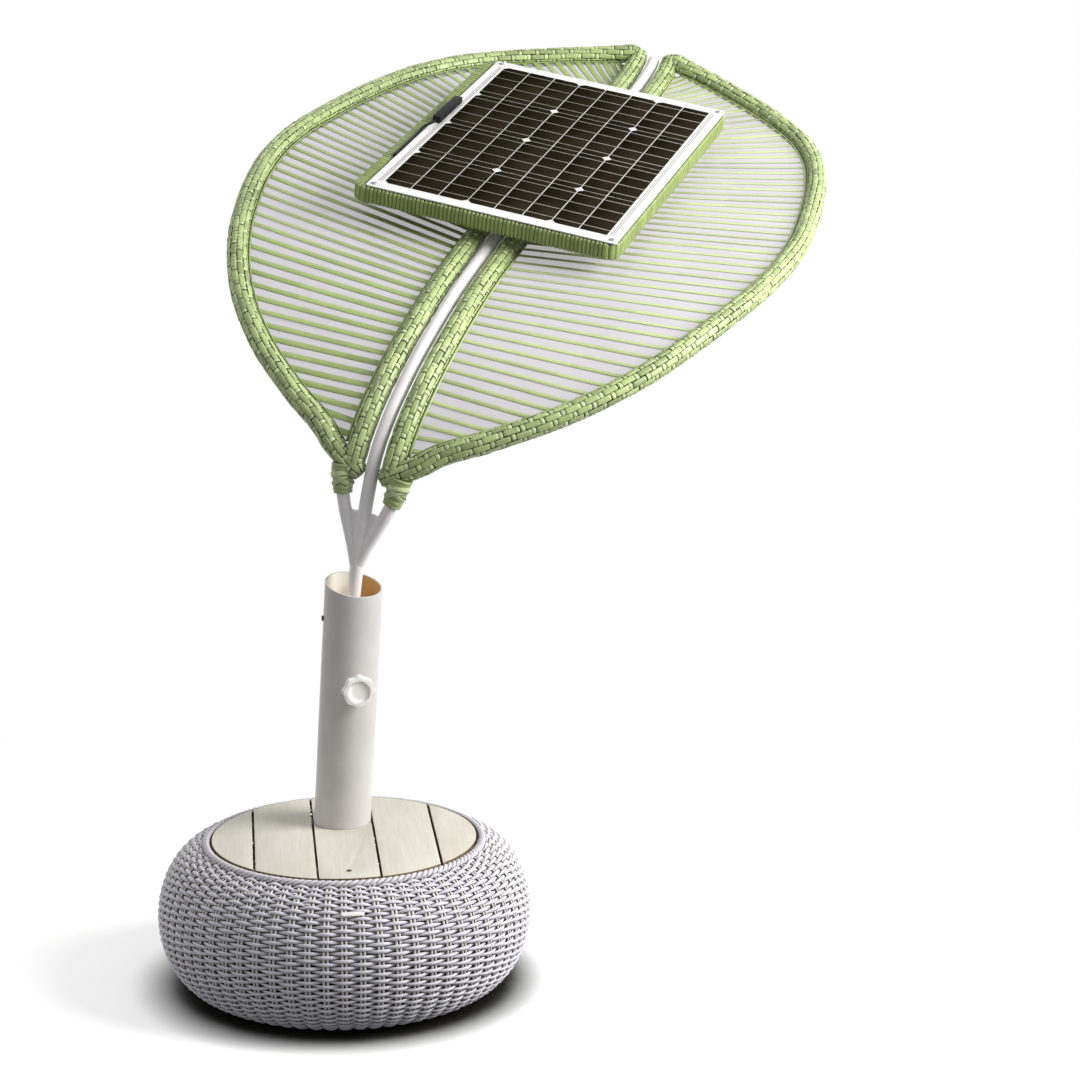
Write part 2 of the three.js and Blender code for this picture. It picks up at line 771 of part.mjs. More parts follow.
// Whole loop of one half, from the joint near the base along the rail, round the
// tip, back along the rim and round the base
function loopOutline() {
  const rim = rimCurve();
  const rim_length = rim.getLength();
  const rim_start = leaf_base_corner_reach / rim_length;
  const rim_end = 1 - leaf_tip_corner_reach / rim_length;
  const base = cornerArc(rim, rim_start, 1);
  const tip = cornerArc(rim, rim_end, -1);
  const joint = base[0].x + loop_joint_stub;
  const rail_start = joint + loop_joint_gap + loop_joint_stub;
  const points = [new THREE.Vector2(joint + loop_joint_gap, rail_offset)];
  for (let i = 0; i < rail_steps; i += 1) {
    const along = rail_start + (tip[0].x - rail_start) * (i / rail_steps) ** (1 + rail_crowding_share);
    points.push(new THREE.Vector2(along, rail_offset));
  }
  points.push(...tip);
  for (let i = 1; i < rim_steps; i += 1) {
    const p = rim.getPointAt(rim_end + ((rim_start - rim_end) * i) / rim_steps);
    points.push(new THREE.Vector2(p.x, p.y));
  }
  points.push(...base.reverse(), new THREE.Vector2(joint, rail_offset));
  return points;
}

const loop_outline = loopOutline();

function loopPath(side) {
  return loop_outline.map((p) => leafPoint(p.x, p.y * side));
}

// Edge of the space inside the loop, for strips and cloth
const edge_offset = wrap_radius + strip_edge_gap;

function innerEdges(share) {
  const rim = rimCurve();
  const start = base_corner.x + strip_base_inset;
  const end = tip_corner.x - strip_tip_inset;
  const rail = new THREE.Vector2(start + (end - start) * share, rail_offset + edge_offset);
  const rim_length = rim.getLength();
  const first = strip_base_inset / rim_length;
  const last = 1 - strip_tip_inset / rim_length;
  const place = first + (last - first) * (1 - (1 - share) ** (1 + strip_crowding_share));
  const point = rim.getPointAt(place);
  const tangent = rim.getTangentAt(place);
  const edge = new THREE.Vector2(
    point.x + tangent.y * edge_offset,
    point.y - tangent.x * edge_offset,
  );
  return { rail, edge };
}

// Strung strips of one half as one net: strips joined by a border at both ends
function netGeometry(side) {
  const rows = [];
  const count = strip_count * 2;
  const rail_length = tip_corner.x - base_corner.x - strip_base_inset - strip_tip_inset;
  const half_share = strip_width / 2 / rail_length;
  for (let i = 0; i < count; i += 1) {
    const middle = (Math.floor(i / 2) + 0.5) / strip_count;
    const share = middle + (i % 2 === 0 ? -half_share : half_share);
    const { rail, edge } = innerEdges(share);
    const across = edge.clone().sub(rail).normalize().multiplyScalar(strip_border);
    const line = [rail, rail.clone().add(across), edge.clone().sub(across), edge];
    rows.push(line.map((p) => [
      leafPoint(p.x, p.y * side, strip_thickness / 2),
      leafPoint(p.x, p.y * side, -strip_thickness / 2),
    ]));
  }
  const positions = [];
  rows.forEach((row) => row.forEach((pair) => pair.forEach((p) => positions.push(p.x, p.y, p.z))));
  const index = (row, column, level) => (row * 4 + column) * 2 + level;
  const faces = [];
  const quad = (a, b, c, d) => {
    if (side > 0) {
      faces.push(a, b, c, a, c, d);
    } else {
      faces.push(a, c, b, a, d, c);
    }
  };
  const wall = (rowA, columnA, rowB, columnB) => quad(
    index(rowA, columnA, 0),
    index(rowA, columnA, 1),
    index(rowB, columnB, 1),
    index(rowB, columnB, 0),
  );
  for (let i = 0; i < count - 1; i += 1) {
    const is_strip = i % 2 === 0;
    const spans = is_strip ? [0, 1, 2] : [0, 2];
    spans.forEach((column) => {
      quad(
        index(i, column, 0),
        index(i, column + 1, 0),
        index(i + 1, column + 1, 0),
        index(i + 1, column, 0),
      );
      quad(
        index(i, column, 1),
        index(i + 1, column, 1),
        index(i + 1, column + 1, 1),
        index(i, column + 1, 1),
      );
    });
    wall(i + 1, 0, i, 0);
    wall(i, 3, i + 1, 3);
    if (is_strip) {
      const first = i === 0 ? [0, 1, 2] : [1];
      const last = i === count - 2 ? [0, 1, 2] : [1];
      first.forEach((column) => wall(i, column, i, column + 1));
      last.forEach((column) => wall(i + 1, column + 1, i + 1, column));
    } else {
      wall(i, 1, i + 1, 1);
      wall(i + 1, 2, i, 2);
    }
  }
  const geometry = new THREE.BufferGeometry();
  geometry.setAttribute('position', new THREE.Float32BufferAttribute(positions, 3));
  geometry.setIndex(faces);
  geometry.computeVertexNormals();
  return geometry;
}

// Cloth of one half: a thin sheet stretched under the strips
function clothGeometry(side) {
  const positions = [];
  for (let i = 0; i <= cloth_steps; i += 1) {
    const { rail, edge } = innerEdges(1 - (1 - i / cloth_steps) ** (1 + cloth_crowding_share));
    [rail, edge].forEach((p) => {
      [-cloth_drop, -cloth_drop - cloth_thickness].forEach((height) => {
        const point = leafPoint(p.x, p.y * side, height);
        positions.push(point.x, point.y, point.z);
      });
    });
  }
  const faces = [];
  const quad = (a, b, c, d) => {
    if (side > 0) {
      faces.push(a, b, c, a, c, d);
    } else {
      faces.push(a, c, b, a, d, c);
    }
  };
  for (let i = 0; i < cloth_steps; i += 1) {
    const a = i * 4;
    const b = a + 4;
    quad(a, a + 2, b + 2, b);
    quad(a + 1, b + 1, b + 3, a + 3);
    quad(a, b, b + 1, a + 1);
    quad(a + 2, a + 3, b + 3, b + 2);
  }
  const last = cloth_steps * 4;
  quad(0, 1, 3, 2);
  quad(last, last + 2, last + 3, last + 1);
  const geometry = new THREE.BufferGeometry();
  geometry.setAttribute('position', new THREE.Float32BufferAttribute(positions, 3));
  geometry.setIndex(faces);
  geometry.computeVertexNormals();
  return geometry;
}

// Middle pipe: straight inside the post, then along the spine to the leaf's tip
const straight_point_count = 3;
const bend_steps = 2;

function pipePath() {
  const points = [];
  const bend_start = guide_place + guide_height;
  for (let i = 0; i < straight_point_count; i += 1) {
    const along = pipe_start + ((bend_start - pipe_start) * i) / (straight_point_count - 1);
    points.push(vec(0, 0, along).applyMatrix4(post_frame));
  }
  const end = spine_length - pipe_tip_inset;
  const steps = station_count + bend_steps;
  for (let i = 1; i <= steps; i += 1) {
    const along = (end * i) / steps - fork_length;
    points.push(leafPoint(along, 0).applyMatrix4(leaf_frame));
  }
  return points;
}

const pipe_path = pipePath();

// Space for a rod along the points, a gap longer than the rod at both ends
function sweptClearance(points, radius, sides) {
  const beyond = (from, to) => to.clone().add(to.clone().sub(from).setLength(seat_gap));
  const first = beyond(points[1], points[0]);
  const last = beyond(points[points.length - 2], points[points.length - 1]);
  const longer = [first, ...points.slice(1, -1), last];
  return sweep(disc(boreRadius(radius, sides), sides), longer);
}

function makePipe() {
  const shape = ring(pipe_radius, pipe_radius - pipe_wall, pipe_sides, rod_sides);
  add('middle_pipe', sweep(shape, pipe_path), 'white_paint');
  const last = pipe_path[pipe_path.length - 1];
  const before = pipe_path[pipe_path.length - 2];
  const direction = last.clone().sub(before).normalize();
  const turn = new THREE.Quaternion().setFromUnitVectors(vec(0, 0, 1), direction);
  const place = new THREE.Matrix4().compose(last, turn, vec(1, 1, 1));
  const plug_radius = flatRadius(pipe_radius - pipe_wall, rod_sides) - seat_gap;
  const shoulder = {
    x: pipe_radius * cap_shoulder_radius_share,
    y: cap_length * cap_shoulder_height_share,
  };
  const cap = new THREE.LatheGeometry([
    new THREE.Vector2(0, -cap_plug_length),
    new THREE.Vector2(plug_radius, -cap_plug_length),
    new THREE.Vector2(plug_radius, seat_gap),
    new THREE.Vector2(pipe_radius, seat_gap),
    new THREE.Vector2(pipe_radius, cap_length / 2),
    new THREE.Vector2(shoulder.x, shoulder.y),
    new THREE.Vector2(0, cap_length),
  ], pipe_sides);
  add('pipe_cap', cap, 'white_paint', chain(place, turnX(90)));
}

// Route of one branch of the fork, on the side given
function branchPath(side) {
  return [
    vec(0, spineReach(branch_foot_rise - pipe_radius * 2), branch_foot_rise - pipe_radius * 2),
    vec(side * pipe_radius, spineReach(branch_foot_rise + pipe_radius), branch_foot_rise + pipe_radius),
    vec(side * branch_spread, spineReach(branch_sleeve_rise), branch_sleeve_rise),
    vec(side * branch_top_spread, spineReach(branch_sleeve_rise), branch_top_rise),
  ];
}

// Reach of the middle pipe's axis at a height over the mouth
function spineReach(height) {
  let place = 0;
  while (spine.getPointAt(place).z < height) {
    place += 1 / spine_division_count;
  }
  return spine.getPointAt(place).y;
}

const branch_point_count = 9;
const sleeve_start_share = 0.6;

// The piece of a cut body that has the largest volume
function largestPiece(body) {
  return body.decompose().reduce((best, next) => (next.volume() > best.volume() ? next : best));
}

function makeLeafHalf(side, word) {
  const loop = loopPath(side);
  const rod = sweep(disc(loop_rod_radius, loop_rod_sides), loop);
  add(`leaf_rod_${word}`, rod, 'inner_frame', leaf_frame);
  const curve = new THREE.CatmullRomCurve3(branchPath(side), false, 'centripetal');
  const points = curve.getPoints(branch_point_count);
  const local_pipe = pipe_path.map((p) => p.clone().applyMatrix4(leaf_frame.clone().invert()));
  const near_pipe = local_pipe.slice(1, local_pipe.length / 2);
  const pipe_space = solid(sweptClearance(near_pipe, pipe_radius + seat_gap, pipe_sides));
  const rod_bore = flatRadius(loop_rod_radius, loop_rod_sides) + seat_gap;
  const rod_space = solid(sweptClearance(loop, rod_bore, loop_rod_sides));
  const tube = solid(sweep(disc(branch_radius, pipe_sides), points));
  const branch = tube.add(solid(gussetGeometry(side))).subtract(pipe_space).subtract(rod_space);
  add(`branch_${word}`, geometryOf(largestPiece(branch)), 'white_paint', leaf_frame);
  const sleeve_points = points.slice(Math.round(points.length * sleeve_start_share));
  const sleeve = solid(sweep(disc(branch_radius + sleeve_wall, pipe_sides), sleeve_points));
  const branch_space = solid(sweptClearance(points, branch_radius + seat_gap, pipe_sides));
  const around_loop = solid(sweep(disc(wrap_radius, wrap_sides), loop));
  const wrap = around_loop.add(sleeve).subtract(rod_space).subtract(branch_space).subtract(pipe_space);
  add(`leaf_wrap_${word}`, geometryOf(largestPiece(wrap)), 'green_strip', leaf_frame);
  add(`strip_net_${word}`, netGeometry(side), 'green_strip', leaf_frame);
  add(`shade_cloth_${word}`, clothGeometry(side), 'shade', leaf_frame);
}

// Flat web between a branch and the pipe
function gussetGeometry(side) {
  const low = gusset_bottom_rise;
  const high = gusset_top_rise;
  const rise = branch_sleeve_rise - branch_foot_rise;
  const spread = (height) => (branch_spread * (height - branch_foot_rise)) / rise;
  const shape = new THREE.Shape([
    new THREE.Vector2(0, low),
    new THREE.Vector2(side * spread(low), low),
    new THREE.Vector2(side * spread(high), high),
    new THREE.Vector2(0, high),
  ]);
  const web = prism(shape, gusset_thickness);
  web.applyMatrix4(turnX(90));
  web.translate(0, spineReach((low + high) / 2) + gusset_thickness / 2, 0);
  return web;
}

// Panel frame: over a place on the middle pipe, tilted a little from it
const panel_middle = leafPoint(panel_place, 0, panel_lift);
const panel_rising = spine.getTangentAt((fork_length + panel_place) / spine_length);
const panel_slope_angle = THREE.MathUtils.radToDeg(Math.atan2(panel_rising.z, panel_rising.y));
const panel_frame = chain(
  leaf_frame,
  shift(0, panel_middle.y, panel_middle.z),
  turnX(panel_slope_angle + panel_tilt_angle),
);
const field_half_x = (cell_pitch_x * cell_column_count) / 2;
const field_half_y = (cell_pitch_y * cell_row_count) / 2;
const sheet_half_x = field_half_x + sheet_margin;
const sheet_half_y = field_half_y + sheet_margin;
const bar_half_x = sheet_half_x + bar_overhang;
const bar_half_y = sheet_half_y + bar_overhang / 3;
const bar_top = -sheet_thickness - seat_gap;

function panelScrewPlaces() {
  const places = [];
  [-1, 1].forEach((sx) => [-1, 1].forEach((sy) => places.push(new THREE.Vector2(
    sx * (sheet_half_x - panel_screw_inset),
    sy * (sheet_half_y - panel_screw_inset),
  ))));
  return places;
}

function makePanel() {
  const sheet = new THREE.Shape([
    new THREE.Vector2(-sheet_half_x, -sheet_half_y),
    new THREE.Vector2(sheet_half_x, -sheet_half_y),
    new THREE.Vector2(sheet_half_x, sheet_half_y),
    new THREE.Vector2(-sheet_half_x, sheet_half_y),
  ]);
  panelScrewPlaces().forEach((place) => {
    const corners = ringPoints(boreRadius(screw_shank_radius + seat_gap, bore_sides), bore_sides);
    sheet.holes.push(new THREE.Path(corners.map((p) => p.add(place))));
  });
  const sheet_body = prism(sheet, sheet_thickness);
  sheet_body.translate(0, 0, -sheet_thickness);
  add('panel_sheet', sheet_body, 'sheet', panel_frame);
  for (let row = 0; row < cell_row_count; row += 1) {
    const y = (row - (cell_row_count - 1) / 2) * cell_pitch_y;
    const place = chain(panel_frame, shift(0, y, seat_gap));
    add(`cell_string_${row + 1}`, prism(cellRowShape(), cell_thickness), 'cell', place);
  }
}

// One row of cells with the ribbon bridges between them, as one outline
function cellRowShape() {
  const half_x = (cell_pitch_x - cell_spacing) / 2;
  const half_y = (cell_pitch_y - cell_spacing) / 2;
  const upper = [];
  for (let column = 0; column < cell_column_count; column += 1) {
    const x = (column - (cell_column_count - 1) / 2) * cell_pitch_x;
    const place = column % wafer_cell_count;
    const left_chamfer = place === 0 ? cell_chamfer : 0;
    const right_chamfer = place === wafer_cell_count - 1 ? cell_chamfer : 0;
    if (column > 0) {
      upper.push(new THREE.Vector2(x - half_x, ribbon_width / 2));
    }
    if (left_chamfer > 0) {
      upper.push(new THREE.Vector2(x - half_x, half_y - left_chamfer));
    }
    upper.push(new THREE.Vector2(x - half_x + left_chamfer, half_y));
    upper.push(new THREE.Vector2(x + half_x - right_chamfer, half_y));
    if (right_chamfer > 0) {
      upper.push(new THREE.Vector2(x + half_x, half_y - right_chamfer));
    }
    if (column < cell_column_count - 1) {
      upper.push(new THREE.Vector2(x + half_x, ribbon_width / 2));
    }
  }
  const lower = upper.map((p) => new THREE.Vector2(p.x, -p.y)).reverse();
  return new THREE.Shape([...upper, ...lower].reverse());
}

function makePanelFrame() {
  const middle_z = bar_top - bar_height / 2;
  const hole_radius = boreRadius(screw_shank_radius + seat_gap, bore_sides);
  const screw_hole = cylinder(hole_radius, panel_screw_length * 2, bore_sides);
  const holes = panelScrewPlaces().map((place) => screw_hole.clone().translate(
    place.x,
    place.y,
    -panel_screw_length,
  ));
  const y_bar = bar_half_y - bar_width / 2;
  [['front', -1], ['rear', 1]].forEach(([word, side]) => {
    const bar = block(bar_half_x * 2, bar_width, bar_height);
    bar.translate(-bar_side_shift, side * y_bar, middle_z);
    add(`panel_bar_${word}`, cut(bar, ...holes), 'green_strip', panel_frame);
  });
  const x_bar = bar_half_x - bar_width / 2;
  const side_length = (bar_half_y - bar_width - seat_gap) * 2;
  [['left', -1], ['right', 1]].forEach(([word, side]) => {
    const bar = block(bar_width, side_length, bar_height);
    bar.translate(side * x_bar - bar_side_shift, 0, middle_z);
    add(`panel_bar_${word}`, bar, 'green_strip', panel_frame);
  });
  panelScrewPlaces().forEach((place, i) => {
    const head = cylinder(screw_head_radius, screw_head_height, rod_sides);
    const shank = cylinder(screw_shank_radius, panel_screw_length, rod_sides);
    shank.translate(0, 0, screw_head_height - panel_screw_length);
    const screw_place = chain(panel_frame, shift(place.x, place.y, seat_gap));
    add(`panel_screw_${i + 1}`, join(head, shank), 'fastener', screw_place);
  });
}

// Crossbars under the sheet, and the saddles and straps that hold them to the pipe
function makeSaddles() {
  const to_panel = panel_frame.clone().invert();
  const local_pipe = pipe_path.map((p) => p.clone().applyMatrix4(to_panel));
  const pipe_space = sweptClearance(local_pipe, pipe_radius + seat_gap, pipe_sides);
  const bar_length = (bar_half_x - bar_width - seat_gap) * 2;
  [['front', -1], ['rear', 1]].forEach(([word, side]) => {
    const y = side * crossbar_place;
    const bar = block(bar_length, crossbar_width, crossbar_height);
    bar.translate(-bar_side_shift, y, bar_top - crossbar_height / 2);
    add(`crossbar_${word}`, bar, 'inner_frame', panel_frame);
    const after = local_pipe.findIndex((p) => p.y > y);
    const high = local_pipe[after];
    const low = local_pipe[after - 1];
    const axis = low.clone().lerp(high, (y - low.y) / (high.y - low.y));
    const top = bar_top - crossbar_height - seat_gap;
    const saddle = block(saddle_half_width * 2, saddle_length, top - axis.z);
    saddle.translate(0, y, (top + axis.z) / 2);
    add(`saddle_${word}`, cut(saddle, pipe_space), 'white_paint', panel_frame);
    const strap_radius = pipe_radius + saddle_strap_thickness;
    const half = cylinder(strap_radius, saddle_length, disc_sides);
    const lift = axis.z - seat_gap - strap_radius / 2;
    const keep = block(strap_radius * 2, saddle_length * 2, strap_radius);
    keep.translate(0, y, lift);
    const strap_place = chain(shift(0, y + saddle_length / 2, axis.z), turnX(90));
    const strap = solid(moved(half, strap_place)).intersect(solid(keep)).subtract(solid(pipe_space));
    add(`saddle_strap_${word}`, geometryOf(strap), 'white_paint', panel_frame);
  });
}

// Junction box on the left margin of the sheet, and its lead along the edge
function makeJunctionBox() {
  const x = -sheet_half_x + box_width / 2;
  const box = block(box_width, box_length, box_height);
  box.translate(x, box_place_y, box_height / 2 + seat_gap);
  add('junction_box', box, 'black_plastic', panel_frame);
  const start = box_place_y - box_length / 2 - seat_gap * 3;
  const end = -field_half_y * lead_end_share;
  const edge = -sheet_half_x - lead_radius - seat_gap * 2;
  const height = bar_top + lead_radius + seat_gap;
  const route = new THREE.CatmullRomCurve3([
    vec(x, start, box_height / 2),
    vec(x - lead_radius, start - lead_bend_length, box_height / 2),
    vec(edge, start - lead_bend_length * 2, height + lead_radius),
    vec(edge, start - lead_bend_length * 4, height),
    vec(edge, (start + end) / 2, height),
    vec(edge, end, height),
  ], false, 'centripetal');
  const lead = sweep(disc(lead_radius, rod_sides), route.getPoints(lead_steps));
  add('box_lead', lead, 'black_plastic', panel_frame);
}

makeBallast();
makeInnerFrame();
makeShell();
makeBearers();
makeDeck();
makePost();
makeGuides();
makeFoot();
makeKnob();
makePipe();
makeLeafHalf(-1, 'left');
makeLeafHalf(1, 'right');
makePanel();
makePanelFrame();
makeSaddles();
makeJunctionBox();

export default object;
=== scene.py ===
"""The looks of a solar charging bench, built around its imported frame. Metres, +Z up."""
import math

import bmesh
import bpy
import numpy as np
from mathutils import Matrix, Vector


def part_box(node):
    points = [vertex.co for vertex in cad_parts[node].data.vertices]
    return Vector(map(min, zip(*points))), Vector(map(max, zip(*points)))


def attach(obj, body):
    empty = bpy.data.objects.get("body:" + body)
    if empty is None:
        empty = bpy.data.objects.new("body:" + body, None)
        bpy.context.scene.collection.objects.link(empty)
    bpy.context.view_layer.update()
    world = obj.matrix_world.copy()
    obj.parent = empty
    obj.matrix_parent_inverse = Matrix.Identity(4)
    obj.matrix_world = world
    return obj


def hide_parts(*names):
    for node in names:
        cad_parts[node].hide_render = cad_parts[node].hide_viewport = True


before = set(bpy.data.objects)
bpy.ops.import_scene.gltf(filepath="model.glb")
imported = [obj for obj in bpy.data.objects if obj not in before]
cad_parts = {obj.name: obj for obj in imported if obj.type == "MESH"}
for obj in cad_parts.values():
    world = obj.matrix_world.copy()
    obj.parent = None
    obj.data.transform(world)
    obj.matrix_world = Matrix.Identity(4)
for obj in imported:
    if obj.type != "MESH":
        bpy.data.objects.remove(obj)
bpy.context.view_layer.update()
chance = np.random.default_rng(7)

# Camera, at the photograph's viewing angle
camera_place = (-0.17717, -4.74037, 1.81742)
camera_forward = Vector((0.11206596, 0.97307755, -0.20139837))
camera_right = Vector((0.99343358, -0.11441029, 0))
camera_lens = 88
camera_sensor = 36


def make_camera():
    data = bpy.data.cameras.new("camera")
    data.lens = camera_lens
    data.sensor_width = camera_sensor
    camera = bpy.data.objects.new("camera", data)
    up = camera_right.cross(camera_forward)
    turn = Matrix((camera_right, up, -camera_forward)).transposed().to_4x4()
    camera.matrix_world = Matrix.Translation(camera_place) @ turn
    bpy.context.scene.collection.objects.link(camera)
    bpy.context.scene.camera = camera


make_camera()

# Seat
seat_radius = 0.350
seat_height = 0.280
plank_stand = 0.005
floor_radius = 0.250
rim_angle = 85.9
shell_thickness = 0.009
stake_pairs = 66
weft_rows = 52
weft_samples = 6
weft_sides = 8
weft_height = 0.0036
weft_depth = 0.0027
weft_swing = 0.0040
weft_drifts = (0.0005, 0.0004)
weave_depth = 0.0066
weave_first_angle = -84
weave_last_angle = 84
stake_radius = 0.0026
stake_half_gap = 0.0034
stake_lift = 0.0012
stake_sides = 6
braid_strands = 3
braid_turns = 44
braid_radius = 0.0042
braid_swing = 0.0040
braid_lift = 0.0016
braid_samples = 16
braid_sides = 10
tag_width = 0.043
tag_height = 0.011
tag_angle = 47
tag_thickness = 0.0006
plank_round = 0.0014

# Post, in a frame that leans with it and starts at the plank tops
post_place = (0, 0.090, seat_height)
post_lean_angle = 3.5
post_rise = 0.462
post_radius = 0.054
post_wall = 0.0035
mouth_front_angle = 13
mouth_right_angle = 8
lip_round = 0.0009
knob_place = 0.276
knob_angle = 10.4
knob_start = 0.0636
knob_stem = 0.006
knob_hub = 0.014
knob_radius = 0.0300
knob_lobe = 0.0015
knob_lobes = 8
knob_thickness = 0.017

# Leaf, as in the part's source: shares of its reach and rise along the pipe, and its rim
leaf_turn_angle = 23.9
leaf_roll_angle = 11.4
leaf_reach = 1.450
leaf_rise = 0.970
leaf_half_width = 0.550
pipe_radius = 0.013
pipe_reach_shares = [
    0, -0.005, -0.008, -0.004, 0.02, 0.054, 0.097, 0.15, 0.21, 0.278, 0.35,
    0.427, 0.506, 0.586, 0.665, 0.74, 0.81, 0.872, 0.923, 0.963, 0.99, 1,
]
pipe_rise_shares = [
    0, 0.098, 0.193, 0.26, 0.329, 0.385, 0.441, 0.497, 0.552, 0.602, 0.647,
    0.689, 0.726, 0.76, 0.795, 0.827, 0.858, 0.888, 0.917, 0.945, 0.973, 1,
]
fork_station = 2
rim_along_shares = [
    0.05, 0.084, 0.126, 0.174, 0.229, 0.288, 0.351, 0.417, 0.485, 0.555,
    0.624, 0.693, 0.758, 0.819, 0.874, 0.92, 0.957, 0.983,
]
rim_width_shares = [
    0.196, 0.355, 0.52, 0.658, 0.769, 0.853, 0.916, 0.967, 0.996, 1,
    0.98, 0.947, 0.904, 0.842, 0.74, 0.58, 0.385, 0.193,
]
base_corner_place = 0.002
tip_corner_inset = 0.009
wrap_radius = 0.021
rail_gap = 0.004
pipe_tip_inset = 0.022
cap_length = 0.0125
pipe_step = 0.008
pipe_bend_start = 0.055
guide_top = 0.420

# Woven wrap of the loops: one wrapped rod along the pipe and one along the rim
wrap_rows = 10
wrap_period = 0.040
wrap_middle = 0.0192
wrap_swing = 0.0015
wrap_strip_width = 0.0121
wrap_strip_thickness = 0.0012
wrap_core_inset = 0.0026
wrap_edge_drop = 0.0007
wrap_step = 0.002
wrap_unevenness = 0.0004
wrap_swerve = 0.05
core_step = 0.008
winding_width = 0.0086
winding_sink = 0.0001
winding_lean = 0.0012
brick_places = [0.0, 0.06, 0.1, 0.14, 0.18, 0.27, 0.5, 0.73, 0.82, 0.86, 0.9, 0.94]
dip_reach_share = 0.13
dip_depth_share = 2.1
dip_narrowing_share = 0.14
rail_start = 0.030
rail_overhang = 0.004
rim_corner = (0.026, 0.020)
rim_corner_reach = 0.090
rim_corner_bend_share = 0.35
end_round = 0.007
end_narrowing_share = 0.3

# Corners of flat strips, over and back under, as shares of half or all of their width
strip_corners = np.array([-1, -0.6, 0.6, 1, 0.92, -0.92])
winding_corners = np.array([-0.5, -0.25, 0.25, 0.5, 0.45, -0.45])
strip_crown = 0.0002

# Strung strips and cloth
strip_count = 60
strip_widths = {-1: 0.0124, 1: 0.0092}
strip_thickness = 0.0010
strip_lift = 0.0007
strip_edge_gap = 0.0016
strip_base_inset = 0.076
strip_tip_inset = 0.044
strip_crowding = 1.25
strip_tuck = 0.012
strip_sag = 0.0008
strip_lean_angle = 7
strip_twist_angle = 5
strip_stray = 0.0011
edge_strip_places = np.array([0.0052, 0.0048, 0.0002, -0.0002, 0.0, 0.005])
edge_strip_overlap = 0.0012
edge_strip_rise = 0.0011
cloth_drop = 0.0008
cloth_sag = 0.0004
cloth_ripple = 0.0003
cloth_sheer = 0.5
cloth_tuck = 0.010

# Fork
branch_radius = 0.0125
branch_foot_rise = 0.062
branch_sleeve_rise = 0.168
branch_spread = 0.048
branch_top_spread = 0.058
branch_top_rise = 0.226
branch_step = 0.004
web_bottom_rise = 0.084
web_top_rise = 0.146
web_thickness = 0.014
web_sink = 0.02
web_dip = 0.006
weld_voxel = 0.0016
weld_rounds = 12
sleeve_radius = 0.0168
sleeve_start_rise = 0.168
sleeve_turn = 0.0088
sleeve_flare = 0.0045
sleeve_flare_reach = 0.045
sleeve_step = 0.0012
sleeve_lean = 0.0042
sleeve_crown = 0.0013
sleeve_unevenness = 0.0006
band_place_share = 0.42
band_leans_and_lifts = [(0.62, 0.0), (-0.58, 0.003), (0.2, 0.012)]
band_half_width = 0.0055
band_thickness = 0.0014
band_edge_drop = 0.0006
band_side_reach = 0.0062
band_front_reach = 0.0052

# Panel
panel_place = 1.0045
panel_lift = 0.0755
panel_tilt_angle = 2.39
cell_rows = 4
cell_columns = 8
wafer_cells = 3
cell_pitch_x = 0.0589
cell_pitch_y = 0.1715
cell_spacing = 0.0024
cell_chamfer = 0.009
cell_trim = 0.0004
cell_round = 0.0001
cell_thickness = 0.0004
busbars = 4
busbar_width = 0.0011
busbar_inset = 0.001
busbar_sink = 0.0001
busbar_rise = 0.00025
sheet_margin = 0.027
sheet_corner = 0.006
hole_inset = 0.013
hole_rim_profile = [
    (0.0056, 0.0001), (0.0056, 0.0007), (0.0052, 0.0010),
    (0.0040, 0.0010), (0.0036, 0.0007), (0.0036, 0.0001),
]
line_insets = (0.006, 0.0105)
line_half_width = 0.0008
line_end_inset = 0.004
line_rise = 0.0002
sheet_thickness = 0.0025
bar_width = 0.026
bar_height = 0.036
bar_overhang = 0.018
bar_side_shift = 0.012
bar_rounding = 0.005
frame_corner = 0.016
frame_winding = 0.0083
frame_crown = 0.0022
frame_groove = 0.0012
groove_share = 0.97
turn_looseness = (-0.0004, 0.0005)
turn_lean = 0.0012
winding_samples = 8

# What all pieces share
part_gap = 0.0003
plate_round = 0.0003
weld_reach = 1e-6
cad_weld_reach = 1e-5
wide_edge_round = 0.0012
thin_edge_round = 0.0004
box_round = 0.002
washer_round = 0.0005
guide_screw_round = 0.0006
panel_screw_round = 0.0003
line_divisions = 420
turn = 2 * math.pi
flat_angle = math.radians(2)
edge_angle = math.radians(30)
sharp_angle = math.radians(35)


# Places and turns, as four by four arrays
def shift(x, y, z):
    return np.array(Matrix.Translation((x, y, z)))


def turned(axis, angle):
    return np.array(Matrix.Rotation(math.radians(angle), 4, axis))


def placed(place, points):
    points = np.asarray(points, float)
    return points @ place[:3, :3].T + place[:3, 3]


def unit(vectors):
    return vectors / np.maximum(np.linalg.norm(vectors, axis=-1, keepdims=True), 1e-12)


def distances(points):
    """Distances along a line of points, from its start."""
    steps = np.linalg.norm(np.diff(points, axis=0), axis=1)
    return np.concatenate([[0], steps.cumsum()])


def between(places, lengths, values):
    """Rows of three values, read between the lengths where they are known."""
    return np.stack([np.interp(places, lengths, values[:, i]) for i in range(3)], axis=-1)


def circle(sides):
    return np.arange(sides) * turn / sides


def ring_points(radius, height, angles):
    """Points round the upright axis."""
    radius, height, angles = np.broadcast_arrays(radius, height, angles)
    return np.stack([radius * np.cos(angles), radius * np.sin(angles), height], axis=-1)


def rings_round(normals, others, sides):
    """Directions all round each point of a line, from two that are square to it."""
    angles = circle(sides)
    ring = np.cos(angles)[None, :, None] * normals[:, None]
    return ring + np.sin(angles)[None, :, None] * others[:, None]


